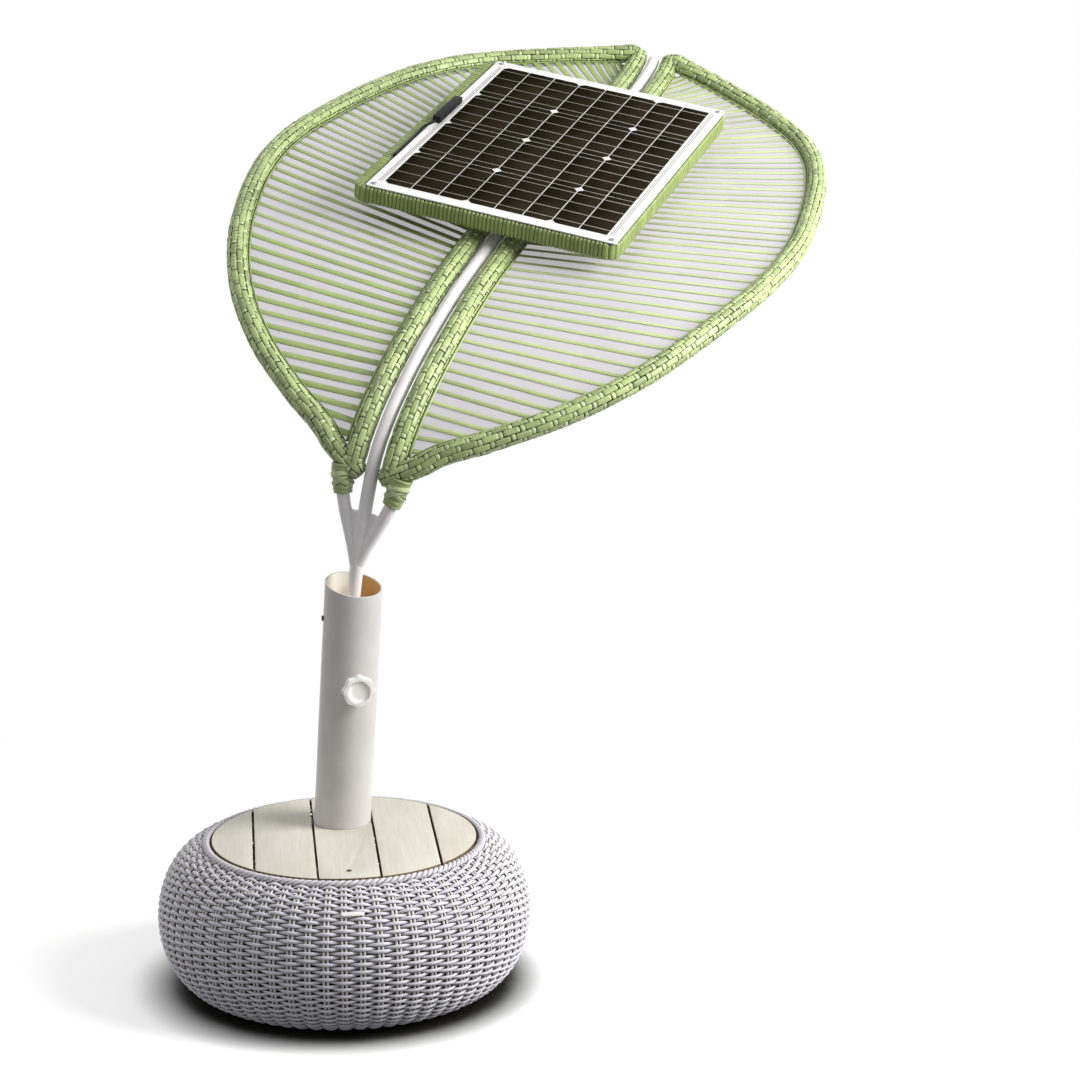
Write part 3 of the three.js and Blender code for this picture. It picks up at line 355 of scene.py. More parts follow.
# Smooth lines through points
def smooth_line(points, shares):
    """Points of the smooth line through the given points, at shares of its spans."""
    points = np.asarray(points, float)
    last = len(points) - 1
    place = np.clip(shares, 0, 1) * last
    first = np.minimum(place.astype(int), last - 1)
    part = (place - first)[:, None]
    longer = np.vstack([2 * points[0] - points[1], points, 2 * points[-1] - points[-2]])
    p0, p1, p2, p3 = (longer[first + i] for i in range(4))

    def gap(a, b):
        return np.maximum(((a - b) ** 2).sum(1) ** 0.25, 1e-7)[:, None]

    d0, d1, d2 = gap(p0, p1), gap(p1, p2), gap(p2, p3)
    start = ((p1 - p0) / d0 - (p2 - p0) / (d0 + d1) + (p2 - p1) / d1) * d1
    end = ((p2 - p1) / d1 - (p3 - p1) / (d1 + d2) + (p3 - p2) / d2) * d1
    square = -3 * p1 + 3 * p2 - 2 * start - end
    cube = 2 * p1 - 2 * p2 + start + end
    return p1 + part * start + part**2 * square + part**3 * cube


class Line:
    """A smooth line through points, read at distances along it."""

    def __init__(self, points, divisions=line_divisions):
        self.points = np.asarray(points, float)
        self.shares = np.linspace(0, 1, divisions + 1)
        self.lengths = distances(smooth_line(self.points, self.shares))
        self.length = self.lengths[-1]

    def at(self, distance):
        shares = np.interp(np.atleast_1d(distance), self.lengths, self.shares)
        return smooth_line(self.points, shares)

    def along(self, distance):
        step = self.length * 1e-4
        distance = np.clip(np.atleast_1d(distance), step, self.length - step)
        return unit(self.at(distance + step) - self.at(distance - step))


def spaced(points, step, closed=False):
    """The same line of points, with points at an even distance."""
    if closed:
        points = np.vstack([points, points[:1]])
    lengths = distances(points)
    count = max(int(round(lengths[-1] / step)), 2)
    places = np.linspace(0, lengths[-1], count + 1)
    if closed:
        places = places[:-1]
    return between(places, lengths, points)


def directions(points, closed=False):
    if closed:
        return unit(np.roll(points, -1, 0) - np.roll(points, 1, 0))
    return unit(np.gradient(points, axis=0))


def carried_normals(tangents):
    """Normals along a line, each turned as little as possible from the last."""
    start = np.array([0.0, 0.0, 1.0])
    if abs(tangents[0] @ start) > 0.9:
        start = np.array([1.0, 0.0, 0.0])
    normals = [start]
    for tangent in tangents:
        normal = normals[-1] - (normals[-1] @ tangent) * tangent
        normals.append(normal / np.linalg.norm(normal))
    return np.array(normals[1:])


def tube_grid(centre, radius, sides):
    """Rings of a round tube along a line of points."""
    tangents = directions(centre)
    normals = carried_normals(tangents)
    ring = rings_round(normals, np.cross(tangents, normals), sides)
    return centre[:, None] + np.broadcast_to(radius, len(centre))[:, None, None] * ring


class Skin:
    """Gathers strands and sheets as grids of points, and makes one mesh of them."""

    def __init__(self):
        self.points = []
        self.faces = []
        self.uvs = []
        self.looks = []
        self.count = 0

    def keep(self, faces, uv, look):
        self.faces.append(faces)
        self.uvs.append(uv)
        self.looks.append(np.full(len(faces), look))

    def add(self, grid, marks=0, distance=None, around=True, along=False, caps=False, look=0):
        """Adds grids of shape (pieces, along, around, 3). marks number the pieces."""
        grid = np.asarray(grid, float)
        if grid.ndim == 3:
            grid = grid[None]
        pieces, m, n = grid.shape[:3]
        if distance is None:
            steps = np.linalg.norm(np.diff(grid[:, :, 0], axis=1), axis=2)
            distance = np.concatenate([np.zeros((pieces, 1)), steps.cumsum(1)], axis=1)
        distance = np.broadcast_to(distance, (pieces, m))
        marks = np.broadcast_to(marks, (pieces,)).astype(float)
        index = self.count + np.arange(pieces * m * n).reshape(pieces, m, n)
        rows = m if along else m - 1
        columns = n if around else n - 1
        over = np.roll(index, -1, 1)
        corners = [index, np.roll(index, -1, 2), np.roll(over, -1, 2), over]
        faces = np.stack([c[:, :rows, :columns] for c in corners], axis=-1).reshape(-1, 4)
        ahead = np.concatenate([distance[:, 1:], 2 * distance[:, -1:] - distance[:, -2:-1]], axis=1)
        v = marks[:, None, None] + 0.01 + 0.98 * np.arange(columns + 1) / columns
        u0, u1, v0, v1 = np.broadcast_arrays(
            distance[:, :rows, None], ahead[:, :rows, None], v[..., :-1], v[..., 1:]
        )
        uv = np.stack([u0, v0, u0, v1, u1, v1, u1, v0], axis=-1).reshape(-1, 2)
        self.points.append(grid.reshape(-1, 3))
        self.count += pieces * m * n
        self.keep(faces, uv, look)
        if caps:
            ends = np.concatenate([index[:, 0, ::-1], index[:, -1]])
            middles = np.stack([np.zeros(2 * pieces), np.tile(marks + 0.5, 2)], axis=1)
            self.keep(ends, np.repeat(middles, n, 0), look)

    def build(self, name, body, looks, replaced=(), smooth=True):
        mesh = bpy.data.meshes.new(name)
        points = np.concatenate(self.points)
        corners = np.concatenate([f.ravel() for f in self.faces])
        sizes = np.concatenate([np.full(len(f), f.shape[1]) for f in self.faces])
        starts = np.concatenate([[0], sizes.cumsum()[:-1]])
        mesh.vertices.add(len(points))
        mesh.vertices.foreach_set("co", points.ravel().astype(np.float32))
        mesh.loops.add(len(corners))
        mesh.loops.foreach_set("vertex_index", corners.astype(np.int32))
        mesh.polygons.add(len(sizes))
        mesh.polygons.foreach_set("loop_start", starts.astype(np.int32))
        mesh.polygons.foreach_set("material_index", np.concatenate(self.looks).astype(np.int32))
        mesh.update(calc_edges=True)
        mesh.validate()
        layer = mesh.uv_layers.new(name="strands")
        layer.data.foreach_set("uv", np.concatenate(self.uvs).ravel().astype(np.float32))
        piece = shown(mesh, name, body, looks, replaced, smooth)
        turn_outward(mesh)
        return piece


def turn_outward(mesh, weld=0):
    """Turns all faces outward, after joining the points that are closer than weld."""
    form = bmesh.new()
    form.from_mesh(mesh)
    if weld:
        bmesh.ops.remove_doubles(form, verts=form.verts, dist=weld)
    bmesh.ops.recalc_face_normals(form, faces=form.faces)
    form.to_mesh(mesh)
    form.free()


def drop_uv(mesh):
    for layer in list(mesh.uv_layers):
        mesh.uv_layers.remove(layer)


def map_flat(mesh, places):
    """Maps a mesh flat, from the place of each of its points in metres."""
    corners = np.zeros(len(mesh.loops), np.int32)
    mesh.loops.foreach_get("vertex_index", corners)
    flat = np.asarray(places, np.float32)[corners]
    mesh.uv_layers.active.data.foreach_set("uv", flat.ravel())


def shown(mesh, name, body, looks, replaced=(), smooth=True):
    """Puts a mesh in the scene as a piece that rides on a body."""
    piece = bpy.data.objects.new(name, mesh)
    bpy.context.scene.collection.objects.link(piece)
    for look in looks:
        mesh.materials.append(look)
    if smooth:
        mesh.shade_smooth()
    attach(piece, body)
    if replaced:
        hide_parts(*replaced)
    return piece


def softened(node, width, look, body):
    """A copy of a CAD node with rounded edges, which replaces it."""
    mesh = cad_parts[node].data.copy()
    mesh.name = node + "_rounded"
    mesh.materials.clear()
    form = bmesh.new()
    form.from_mesh(mesh)
    bmesh.ops.remove_doubles(form, verts=form.verts, dist=cad_weld_reach)
    bmesh.ops.dissolve_limit(form, angle_limit=flat_angle, verts=form.verts, edges=form.edges)
    edges = [e for e in form.edges if len(e.link_faces) == 2 and e.calc_face_angle(0) > edge_angle]
    bmesh.ops.bevel(
        form, geom=edges, offset=width, segments=3, affect="EDGES", profile=0.5, clamp_overlap=True
    )
    form.to_mesh(mesh)
    form.free()
    drop_uv(mesh)
    shown(mesh, node + "_rounded", body, [look], [node])
    mesh.set_sharp_from_angle(angle=sharp_angle)


# Materials
def colour(red, green, blue):
    """A picture's colour, from 0 to 255, as light."""
    values = [v / 255 for v in (red, green, blue)]
    light = [v / 12.92 if v <= 0.04045 else ((v + 0.055) / 1.055) ** 2.4 for v in values]
    return (*light, 1)


class Nodes:
    """Short ways to add and join the nodes of a material or of the world."""

    def __init__(self, owner):
        owner.use_nodes = True
        self.tree = owner.node_tree

    def feed(self, socket, value):
        if isinstance(value, bpy.types.NodeSocket):
            self.tree.links.new(value, socket)
        else:
            socket.default_value = value

    def add(self, kind, inputs=None, **values):
        node = self.tree.nodes.new("ShaderNode" + kind)
        for key, value in values.items():
            setattr(node, key, value)
        for key, value in (inputs or {}).items():
            self.feed(node.inputs[key], value)
        return node

    def math(self, operation, *values):
        return self.add("Math", dict(enumerate(values)), operation=operation).outputs[0]

    def shared(self, first, second, share):
        """A share of the first value, and the rest of the second."""
        part = self.math("MULTIPLY", first, share)
        return self.math("ADD", part, self.math("MULTIPLY", second, 1 - share))

    def place(self, kind="Object"):
        return self.add("TexCoord").outputs[kind]

    def split(self, vector):
        return self.add("SeparateXYZ", {"Vector": vector}).outputs

    def noise(self, vector, scale, detail, roughness=0.55):
        inputs = {"Vector": vector, "Scale": scale, "Detail": detail, "Roughness": roughness}
        return self.add("TexNoise", inputs).outputs["Fac"]

    def grain(self, vector, stretch, detail, roughness=0.55):
        """Noise with its own scale along each axis."""
        drawn = self.add("Mapping", {"Vector": vector, "Scale": stretch}).outputs[0]
        return self.noise(drawn, 1.0, detail, roughness)

    def ramp(self, value, low, high, first=0, last=1, kind="LINEAR"):
        """The value spread from low to high onto first to last."""
        inputs = {"Value": value, "From Min": low, "From Max": high, "To Min": first, "To Max": last}
        return self.add("MapRange", inputs, interpolation_type=kind).outputs[0]

    def blend(self, factor, first, second, kind="MIX"):
        inputs = {0: factor, 6: first, 7: second}
        return self.add("Mix", inputs, data_type="RGBA", blend_type=kind).outputs[2]

    def shades(self, value, low, high, first, second):
        """From the first picture colour, where the value is low, to the second."""
        return self.blend(self.ramp(value, low, high), colour(*first), colour(*second))

    def painted_shade(self, reach, low, high, samples=6):
        """Painted shade: 0 where ambient occlusion finds a near surface, in the gaps between strands, and
        1 on what stands out.
        """
        node = self.add("AmbientOcclusion", {"Distance": reach}, samples=samples)
        return self.ramp(node.outputs["AO"], low, high)

    def seen(self):
        """1 for what the camera sees, also through or in something, and 0 for other light."""
        path = self.add("LightPath").outputs
        straight = self.math("MAXIMUM", path["Is Camera Ray"], path["Is Glossy Ray"])
        return self.math("MAXIMUM", straight, path["Is Transmission Ray"])


class Look(Nodes):
    """The nodes of one material."""

    def __init__(self, name):
        self.material = bpy.data.materials.new(name)
        super().__init__(self.material)
        self.shader = self.tree.nodes["Principled BSDF"]
        self.surface = self.tree.nodes["Material Output"].inputs["Surface"]

    def finish(self, base, roughness, bump=None, height=0.0004, strength=0.5, **values):
        values.update(Base_Color=base, Roughness=roughness)
        if bump is not None:
            inputs = {"Height": bump, "Distance": height, "Strength": strength}
            values["Normal"] = self.add("Bump", inputs).outputs[0]
        for key, value in values.items():
            self.feed(self.shader.inputs[key.replace("_", " ")], value)
        return self.material


def strand_material(name, light, dark, tint, roughness, streaks, crease_shade=None, shade_colour=None, spread=0.6):
    """Extruded plastic strand: streaks along it, each piece of it a little lighter or darker, and
    optionally painted shade in the gaps between strands.
    """
    n = Look(name)
    uv = n.place("UV")
    parts = n.split(uv)
    pair = n.add("CombineXYZ", {"X": n.math("FLOOR", parts["X"]), "Y": n.math("FLOOR", parts["Y"])})
    own = n.add("TexWhiteNoise", {"Vector": pair.outputs[0]}, noise_dimensions="2D")
    streak = n.grain(uv, (1.3, streaks, 1), 3.0)
    fine = n.grain(uv, (9, streaks * 3, 1), 2.0)
    mixed = n.shared(streak, n.noise(n.place(), 9, 2.0), 0.6)
    base = n.shades(mixed, 0.5 - spread / 2, 0.5 + spread / 2, dark, light)
    shade = n.ramp(own.outputs["Value"], 0, 1, 1 - tint, 1 + tint)
    grey = n.add("CombineXYZ", {"X": shade, "Y": shade, "Z": shade})
    base = n.blend(1.0, base, grey.outputs[0], "MULTIPLY")
    # Painted shade: the colour darkens towards the given shade colour where ambient occlusion finds a near
    # surface.
    if crease_shade:
        base = n.blend(n.painted_shade(*crease_shade), colour(*shade_colour), base)
    rough = n.ramp(fine, 0, 1, roughness - 0.08, roughness + 0.1)
    return n.finish(base, rough, n.shared(streak, fine, 0.7), 0.0005, 0.4)


def paint_material(name, light, dark, roughness, patch=14, orange=900, strength=0.12, **values):
    """Sprayed paint: a faint orange-peel surface and faint broad marks."""
    n = Look(name)
    base = n.shades(n.noise(n.place(), patch, 5.0, 0.6), 0.35, 0.7, dark, light)
    worn = n.noise(n.place(), patch * 5, 3.0)
    rough = n.ramp(worn, 0, 1, roughness - 0.07, roughness + 0.09)
    return n.finish(base, rough, n.noise(n.place(), orange, 1.0), 0.0003, strength, **values)


def plank_material():
    """Moulded wood board: fine grain along Y, faint broad mottling and darker pores, with its sides brown
    as painted shade.
    """
    n = Look("board")
    place = n.place()
    grain = n.grain(place, (260, 9, 260), 5.0, 0.6)
    fibre = n.grain(place, (1100, 45, 1100), 3.0, 0.7)
    wide = n.grain(place, (16, 5, 16), 4.0, 0.6)
    top = n.shades(n.shared(grain, wide, 0.45), 0.35, 0.65, (197, 193, 179), (215, 212, 200))
    top = n.blend(n.ramp(fibre, 0.62, 0.8), top, colour(168, 160, 138))
    # Painted shade: faces that don't look up take a dark brown, for the shade on the boards' edges.
    side = n.shades(grain, 0.35, 0.65, (92, 76, 48), (126, 106, 72))
    facing = n.split(n.add("NewGeometry").outputs["Normal"])
    base = n.blend(n.ramp(facing["Z"], 0.45, 0.8), side, top)
    return n.finish(base, 0.72, n.shared(grain, fibre, 0.5), 0.0005, 0.35)


def metal_material(name, light, dark, roughness, metallic=1.0, grain=(40, 40, 900), strength=0.1):
    """Brushed or cast metal."""
    n = Look(name)
    line = n.grain(n.place(), grain, 3.0, 0.6)
    base = n.shades(line, 0.3, 0.7, dark, light)
    rough = n.ramp(line, 0, 1, roughness - 0.08, roughness + 0.12)
    return n.finish(base, rough, line, 0.0003, strength, Metallic=metallic)


def cloth_material():
    """Fine sheer shade cloth, which shows some of what is behind it."""
    n = Look("shade_cloth")
    parts = n.split(n.place("UV"))
    threads = [n.math("SINE", n.math("MULTIPLY", parts[axis], 2600.0)) for axis in ("X", "Y")]
    weave = n.math("MULTIPLY", *threads)
    base = n.shades(n.noise(n.place(), 7, 4.0, 0.6), 0.3, 0.7, (196, 193, 198), (209, 206, 209))
    base = n.blend(n.ramp(weave, -1.0, 1.0), n.blend(0.08, base, colour(120, 116, 122)), base)
    n.finish(base, 0.8, weave, 0.0003, 0.3)
    clear = n.add("BsdfTransparent", {"Color": colour(228, 224, 229)})
    sheer = n.add("MixShader", {0: cloth_sheer, 1: n.shader.outputs[0], 2: clear.outputs[0]})
    n.feed(n.surface, sheer.outputs[0])
    return n.material


def cell_material():
    """Dark cell under a clear film, with faint fingers across it."""
    n = Look("cell_face")
    base = n.shades(n.noise(n.place(), 9, 3.0), 0.3, 0.7, (28, 24, 14), (40, 35, 23))
    wave = n.math("SINE", n.math("MULTIPLY", n.split(n.place("UV"))["X"], 4200.0))
    finger = n.math("MULTIPLY", n.math("GREATER_THAN", wave, 0.86), 0.06)
    base = n.blend(finger, base, colour(150, 145, 138))
    return n.finish(base, 0.3, n.noise(n.place(), 30, 2.0), 0.0004, 0.06, Specular_IOR_Level=0.0)


# Where a strand look below ends in two tuples, they set its painted shade in the gaps: its reach and
# range, then its colour.
weave_look = strand_material(
    "round_strand", (219, 217, 226), (202, 200, 210), 0.05, 0.45, 14, (0.010, 0.20, 0.66), (50, 46, 36)
)
stake_look = strand_material(
    "round_stake", (222, 219, 213), (204, 201, 194), 0.06, 0.5, 14, (0.010, 0.2, 0.6), (44, 40, 34)
)
braid_look = strand_material(
    "braid_strand", (212, 209, 216), (194, 191, 198), 0.06, 0.45, 14, (0.008, 0.34, 0.86), (70, 64, 50)
)
green_look = strand_material(
    "green_strand", (184, 199, 142), (144, 162, 98), 0.26, 0.36, 26, (0.007, 0.32, 0.8), (42, 52, 20)
)
string_look = strand_material(
    "green_string", (180, 199, 130), (150, 171, 98), 0.12, 0.34, 22, (0.060, 0.5, 0.96), (92, 106, 46)
)
# Painted sheen: a paler copy of the green string for the right half, which stands for the lamp's glare on
# its strips.
sheen_painted_string_look = strand_material(
    "green_string_painted_sheen", (196, 211, 154), (174, 190, 126), 0.12, 0.34, 22, (0.050, 0.45, 0.92), (112, 126, 66)
)
winding_look = strand_material(
    "green_winding", (206, 219, 172), (174, 190, 134), 0.22, 0.36, 26, (0.006, 0.32, 0.8), (52, 62, 26)
)
wound_look = strand_material(
    "wound_strip", (168, 184, 118), (120, 138, 68), 0.14, 0.36, 22, (0.007, 0.48, 0.97), (24, 31, 8)
)
# Painted shade: a dark green for the core under the woven strips, which shows as shadow in the gaps
# between them.
painted_shade_core_look = strand_material("green_core_painted_shade", (66, 84, 34), (40, 54, 20), 0.10, 0.6, 12, spread=0.5)
board_look = plank_material()
post_look = paint_material("post_paint", (204, 201, 199), (195, 192, 190), 0.34)
pipe_look = paint_material("pipe_paint", (246, 243, 244), (238, 234, 236), 0.32)
sheet_look = paint_material(
    "white_laminate", (238, 238, 236), (228, 228, 227), 0.3, 8, 500, 0.08,
    Coat_Weight=0.3, Coat_Roughness=0.12,
)
knob_look = paint_material("knob_plastic", (250, 248, 246), (244, 242, 239), 0.3, 30, 700, 0.08)
nylon_look = paint_material("nylon", (222, 217, 206), (208, 202, 190), 0.5, 40, 800, 0.15)
black_look = paint_material(
    "black_plastic", (18, 18, 19), (12, 12, 13), 0.5, 40, 1200, 0.3, Specular_IOR_Level=0.2
)
frame_look = metal_material("aluminium", (176, 178, 181), (150, 152, 156), 0.36)
iron_look = metal_material("cast_iron", (82, 84, 88), (58, 60, 63), 0.66, 0.85, (220, 220, 220), 0.6)
steel_look = metal_material("zinc_steel", (176, 177, 180), (140, 141, 144), 0.32)
dark_steel_look = metal_material("dark_steel", (92, 88, 80), (60, 57, 52), 0.45)
cloth_look = cloth_material()
cell_look = cell_material()
busbar_look = metal_material("busbar", (206, 203, 196), (184, 181, 174), 0.4, 0.3)
margin_look = metal_material("margin_line", (160, 158, 156), (132, 130, 128), 0.5, 0.2)


def inside_material():
    """Bare inside of the post: pale on its left side and tan towards its right."""
    n = Look("post_inside")
    place = n.place()
    wide = n.noise(place, 22, 5.0, 0.6)
    side = n.math("ADD", n.split(place)["X"], n.math("MULTIPLY", wide, 0.012))
    base = n.shades(side, mouth[0] + 0.004, mouth[0] + 0.024, (226, 221, 208), (214, 164, 96))
    return n.finish(base, 0.6, wide, 0.0004, 0.2)


# Frames of the post and the leaf
post_frame = shift(*post_place) @ turned("Y", post_lean_angle)
mouth = placed(post_frame, [0, 0, post_rise])
leaf_frame = shift(*mouth) @ turned("Z", -leaf_turn_angle) @ turned("Y", leaf_roll_angle)
inside_look = inside_material()
spine = Line(np.stack([
    np.array(pipe_reach_shares) * leaf_reach,
    np.array(pipe_rise_shares) * leaf_rise,
], axis=1))
fork_length = spine.lengths[fork_station * line_divisions // (len(pipe_reach_shares) - 1)]
leaf_length = spine.length - fork_length
rail_offset = pipe_radius + rail_gap + wrap_radius


def leaf_local(along, across, height=0):
    """Points of the leaf: along the pipe from the fork, to one side, and over its face."""
    along, across, height = np.broadcast_arrays(np.atleast_1d(along).astype(float), across, height)
    place = np.clip(fork_length + along, 0, spine.length)
    reach, level = spine.at(place).T
    run, rise = spine.along(place).T
    return np.stack([across, reach - rise * height, level + run * height], axis=1)


def leaf_point(along, across, height=0):
    return placed(leaf_frame, leaf_local(along, across, height))


def leaf_grid(flat, side, height):
    """A grid on one half of the leaf, from flat places along and across and a height over it."""
    height = np.broadcast_to(height, flat.shape[:-1]).ravel()
    points = leaf_point(flat[..., 0].ravel(), flat[..., 1].ravel() * side, height)
    return points.reshape(*flat.shape[:-1], 3)


def leaf_normal(along):
    return leaf_point(along, 0, 1) - leaf_point(along, 0)


# Seat: woven shell, stakes and braid
bulge_width = seat_radius - floor_radius
half_height = (seat_height - plank_stand) / 2


def seat_section(angle, depth):
    """Places and outward directions on the seat's section, as radius and height."""
    angle = np.radians(angle)
    place = np.stack([
        floor_radius + (bulge_width - depth) * np.cos(angle),
        half_height + (half_height - depth) * np.sin(angle),
    ], axis=-1)
    out = unit(np.stack([np.cos(angle) / bulge_width, np.sin(angle) / half_height], axis=-1))
    return place, out


def even_angles(first, last, count):
    """Angles on the seat's section at even distances along it."""
    dense = np.linspace(first, last, 400)
    lengths = distances(seat_section(dense, weave_depth)[0])
    return np.interp(np.linspace(0, lengths[-1], count), lengths, dense)


def make_weave():
    skin = Skin()
    place, out = seat_section(even_angles(weave_first_angle, weave_last_angle, weft_rows), weave_depth)
    rise = np.stack([-out[:, 1], out[:, 0]], axis=1)
    phi = circle(stake_pairs * weft_samples)
    row = np.arange(weft_rows)[:, None]
    swing = np.cos(phi * stake_pairs / 2 + math.pi * row)
    swing = swing * (1.25 - 0.25 * swing**2)
    drift = weft_drifts[0] * np.sin(phi * 5 + row * 1.7)
    drift = drift + weft_drifts[1] * np.sin(phi * 13 + row * 2.9)
    angles = circle(weft_sides)
    tall = weft_height * (0.86 + 0.14 * swing)
    outward = (weft_swing * swing)[..., None] + weft_depth * np.cos(angles)
    upward = drift[..., None] + tall[..., None] * np.sin(angles)
    radius, height = (
        place[:, None, None, i] + outward * out[:, None, None, i] + upward * rise[:, None, None, i]
        for i in range(2)
    )
    brick = phi * stake_pairs / turn / 2 + row / 2 + 0.25 + 100
    skin.add(ring_points(radius, height, phi[:, None]), row[:, 0], brick, along=True)
    steps = even_angles(weave_first_angle, weave_last_angle + 3, 60)
    reach, level = seat_section(steps, weave_depth - stake_lift)[0].T
    stakes = []
    for angle in circle(stake_pairs):
        for side in (-1, 1):
            line = ring_points(reach, level, angle + side * stake_half_gap / reach)
            stakes.append(tube_grid(line, stake_radius, stake_sides))
    skin.add(stakes, weft_rows + np.arange(len(stakes)), caps=True, look=1)
    skin.build("woven_seat", "seat", [weave_look, stake_look], ["woven_shell"])


def make_braid():
    """Rope of strands that closes the top of the shell."""
    skin = Skin()
    centre = seat_section(rim_angle, shell_thickness / 2)[0]
    phi = circle(braid_turns * braid_samples)
    up = np.array([0, 0, 1.0])
    for strand in range(braid_strands):
        phase = phi * braid_turns + strand * turn / braid_strands
        lift = braid_swing * np.sin(phase) + braid_lift
        line = ring_points(centre[0] + braid_swing * np.cos(phase), centre[1] + lift, phi)
        tangents = directions(line, closed=True)
        normals = unit(up - (tangents @ up)[:, None] * tangents)
        ring = rings_round(normals, np.cross(tangents, normals), braid_sides)
        brick = phi * braid_turns / turn + strand / braid_strands + 50
        skin.add(line[:, None] + braid_radius * ring, strand, brick, along=True)
    skin.build("braided_edge", "seat", [braid_look], ["braided_rim"])


def make_planks():
    for node in ("outer_left", "left", "right", "outer_right", "middle_front", "middle_rear"):
        softened("plank_" + node, plank_round, board_look, "seat")


def make_tag():
    """Bare pale plate on the front of the seat."""
    skin = Skin()
    columns = np.linspace(-0.5, 0.5, 13)
    rows = np.linspace(-0.5, 0.5, 5)
    radius = seat_section(tag_angle, 0)[0][0]
    lean = math.degrees(tag_height / math.hypot(bulge_width, half_height))
    place, out = seat_section(tag_angle + rows * lean, -tag_thickness)
    rounded = np.sqrt(1 - 0.5 * np.abs(2 * rows) ** 4)
    phi = -math.pi / 2 + columns * rounded[:, None] * tag_width / radius
    low, high = (
        ring_points(*(place + out * thick).T[..., None], phi) for thick in (0, tag_thickness)
    )
    edge = [np.concatenate([r[0], r[1:, -1], r[-1, -2::-1], r[-2:0:-1, 0]]) for r in (low, high)]
    skin.add(high, around=False)
    skin.add(low[::-1], around=False)
    skin.add(edge)
    piece = skin.build("bare_plate", "seat", [knob_look])
    turn_outward(piece.data, weld_reach)


# Post
def make_post():
    skin = Skin()
    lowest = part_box("post")[0].z
    phi = circle(96)
    slant = turned("X", mouth_front_angle) @ turned("Y", mouth_right_angle)
    normal = slant[:3, 2] @ post_frame[:3, :3]
    up = np.array([0, 0, 1.0]) @ post_frame[:3, :3]
    inner = post_radius - post_wall

    def ring(radius, top_share, drop=lip_round):
        """Ring of the tube, at a share of the way from its foot up to its slanted mouth."""
        flat = np.stack([radius * np.cos(phi), radius * np.sin(phi)], axis=1)
        high = post_rise - (flat @ normal[:2]) / normal[2] - drop
        low = (lowest - post_place[2] - flat @ up[:2]) / up[2]
        return np.column_stack([flat, low + (high - low) * top_share])

    shares = np.linspace(0, 1, 25)
    outside = [ring(post_radius, share) for share in shares]
    inside = [ring(inner, share) for share in shares[::-1]]
    lip = []
    arc = np.linspace(0, math.pi, 9)
    for middle, angles in ((post_radius - lip_round, arc[1:5]), (inner + lip_round, arc[4:])):
        for angle in angles:
            radius = middle + lip_round * math.cos(angle)
            lip.append(ring(radius, 1, lip_round * (1 - math.sin(angle))))
    skin.add(placed(post_frame, outside + lip))
    skin.add(placed(post_frame, inside), look=1)
    skin.add(placed(post_frame, [inside[-1], outside[0]]), look=1)
    piece = skin.build("post_tube", "seat", [post_look, inside_look], ["post"])
    turn_outward(piece.data, weld_reach)


def make_knob():
    """Knob turned from a profile of radius, height and share of the lobes, with a dished face."""
    skin = Skin()
    place = post_frame @ shift(0, 0, knob_place) @ turned("Z", knob_angle) @ turned("X", 90)
    back = knob_start + knob_stem
    front = back + knob_thickness
    profile = np.array([
        (0.0001, knob_start, 0), (knob_hub, knob_start, 0), (knob_hub, back - 0.001, 0),
        (knob_hub + 0.001, back, 0.1), (knob_radius - 0.004, back, 0.8),
        (knob_radius - 0.001, back + 0.0015, 1),
        (knob_radius, back + 0.004, 1), (knob_radius, front - 0.006, 1),
        (knob_radius - 0.0008, front - 0.003, 1), (knob_radius - 0.003, front - 0.0008, 0.9),
        (knob_radius - 0.006, front, 0.6), (0.0205, front - 0.0006, 0.15),
        (0.0185, front - 0.0026, 0),
        (0.0165, front - 0.0044, 0), (0.012, front - 0.0052, 0), (0.006, front - 0.0054, 0),
        (0.0001, front - 0.0054, 0),
    ])
    line = smooth_line(profile, np.linspace(0, 1, 49))[:, None]
    phi = circle(120)
    lobes = np.clip(line[..., 2], 0, 1) * knob_lobe * np.cos(phi * knob_lobes)
    radius = np.maximum(line[..., 0] + lobes, 1e-5)
    skin.add(placed(place, ring_points(radius, line[..., 1], phi)), caps=True)
    skin.build("lobed_knob", "knob_body", [knob_look], ["knob"])


# Middle pipe and fork
def pipe_line():
    """Centre line of the middle pipe, from inside the post to the leaf's tip."""
    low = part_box("middle_pipe")[0].z - seat_height
    straight = placed(post_frame, [[0, 0, z] for z in np.linspace(low, guide_top, 8)])
    places = np.linspace(pipe_bend_start, spine.length - pipe_tip_inset, 90) - fork_length
    return np.vstack([straight, leaf_point(places, 0)])


def make_pipe():
    skin = Skin()
    line = spaced(smooth_line(pipe_line(), np.linspace(0, 1, 1200)), pipe_step)
    arc = np.linspace(0.1, math.pi / 2, 10)
    tip = line[-1] + cap_length * np.sin(arc)[:, None] * directions(line)[-1]
    sizes = np.maximum(pipe_radius * np.cos(arc), 1e-5)
    radius = np.concatenate([np.full(len(line), pipe_radius), sizes])
    skin.add(tube_grid(np.vstack([line, tip]), radius, 36), caps=True)
    skin.build("painted_pipe", "canopy", [pipe_look], ["middle_pipe", "pipe_cap"])


def spine_reach(height):
    dense = np.linspace(0, spine.length, 4000)
    points = spine.at(dense)
    return points[np.argmax(points[:, 1] >= height), 0]


def branch_line(side):
    low = branch_foot_rise - pipe_radius * 2
    join = branch_foot_rise + pipe_radius
    sleeve = spine_reach(branch_sleeve_rise)
    points = [
        (0, spine_reach(low), low),
        (side * pipe_radius, spine_reach(join), join),
        (side * branch_spread, sleeve, branch_sleeve_rise),
        (side * branch_top_spread, sleeve, branch_top_rise),
    ]
    return spaced(smooth_line(np.array(points), np.linspace(0, 1, 200)), branch_step)


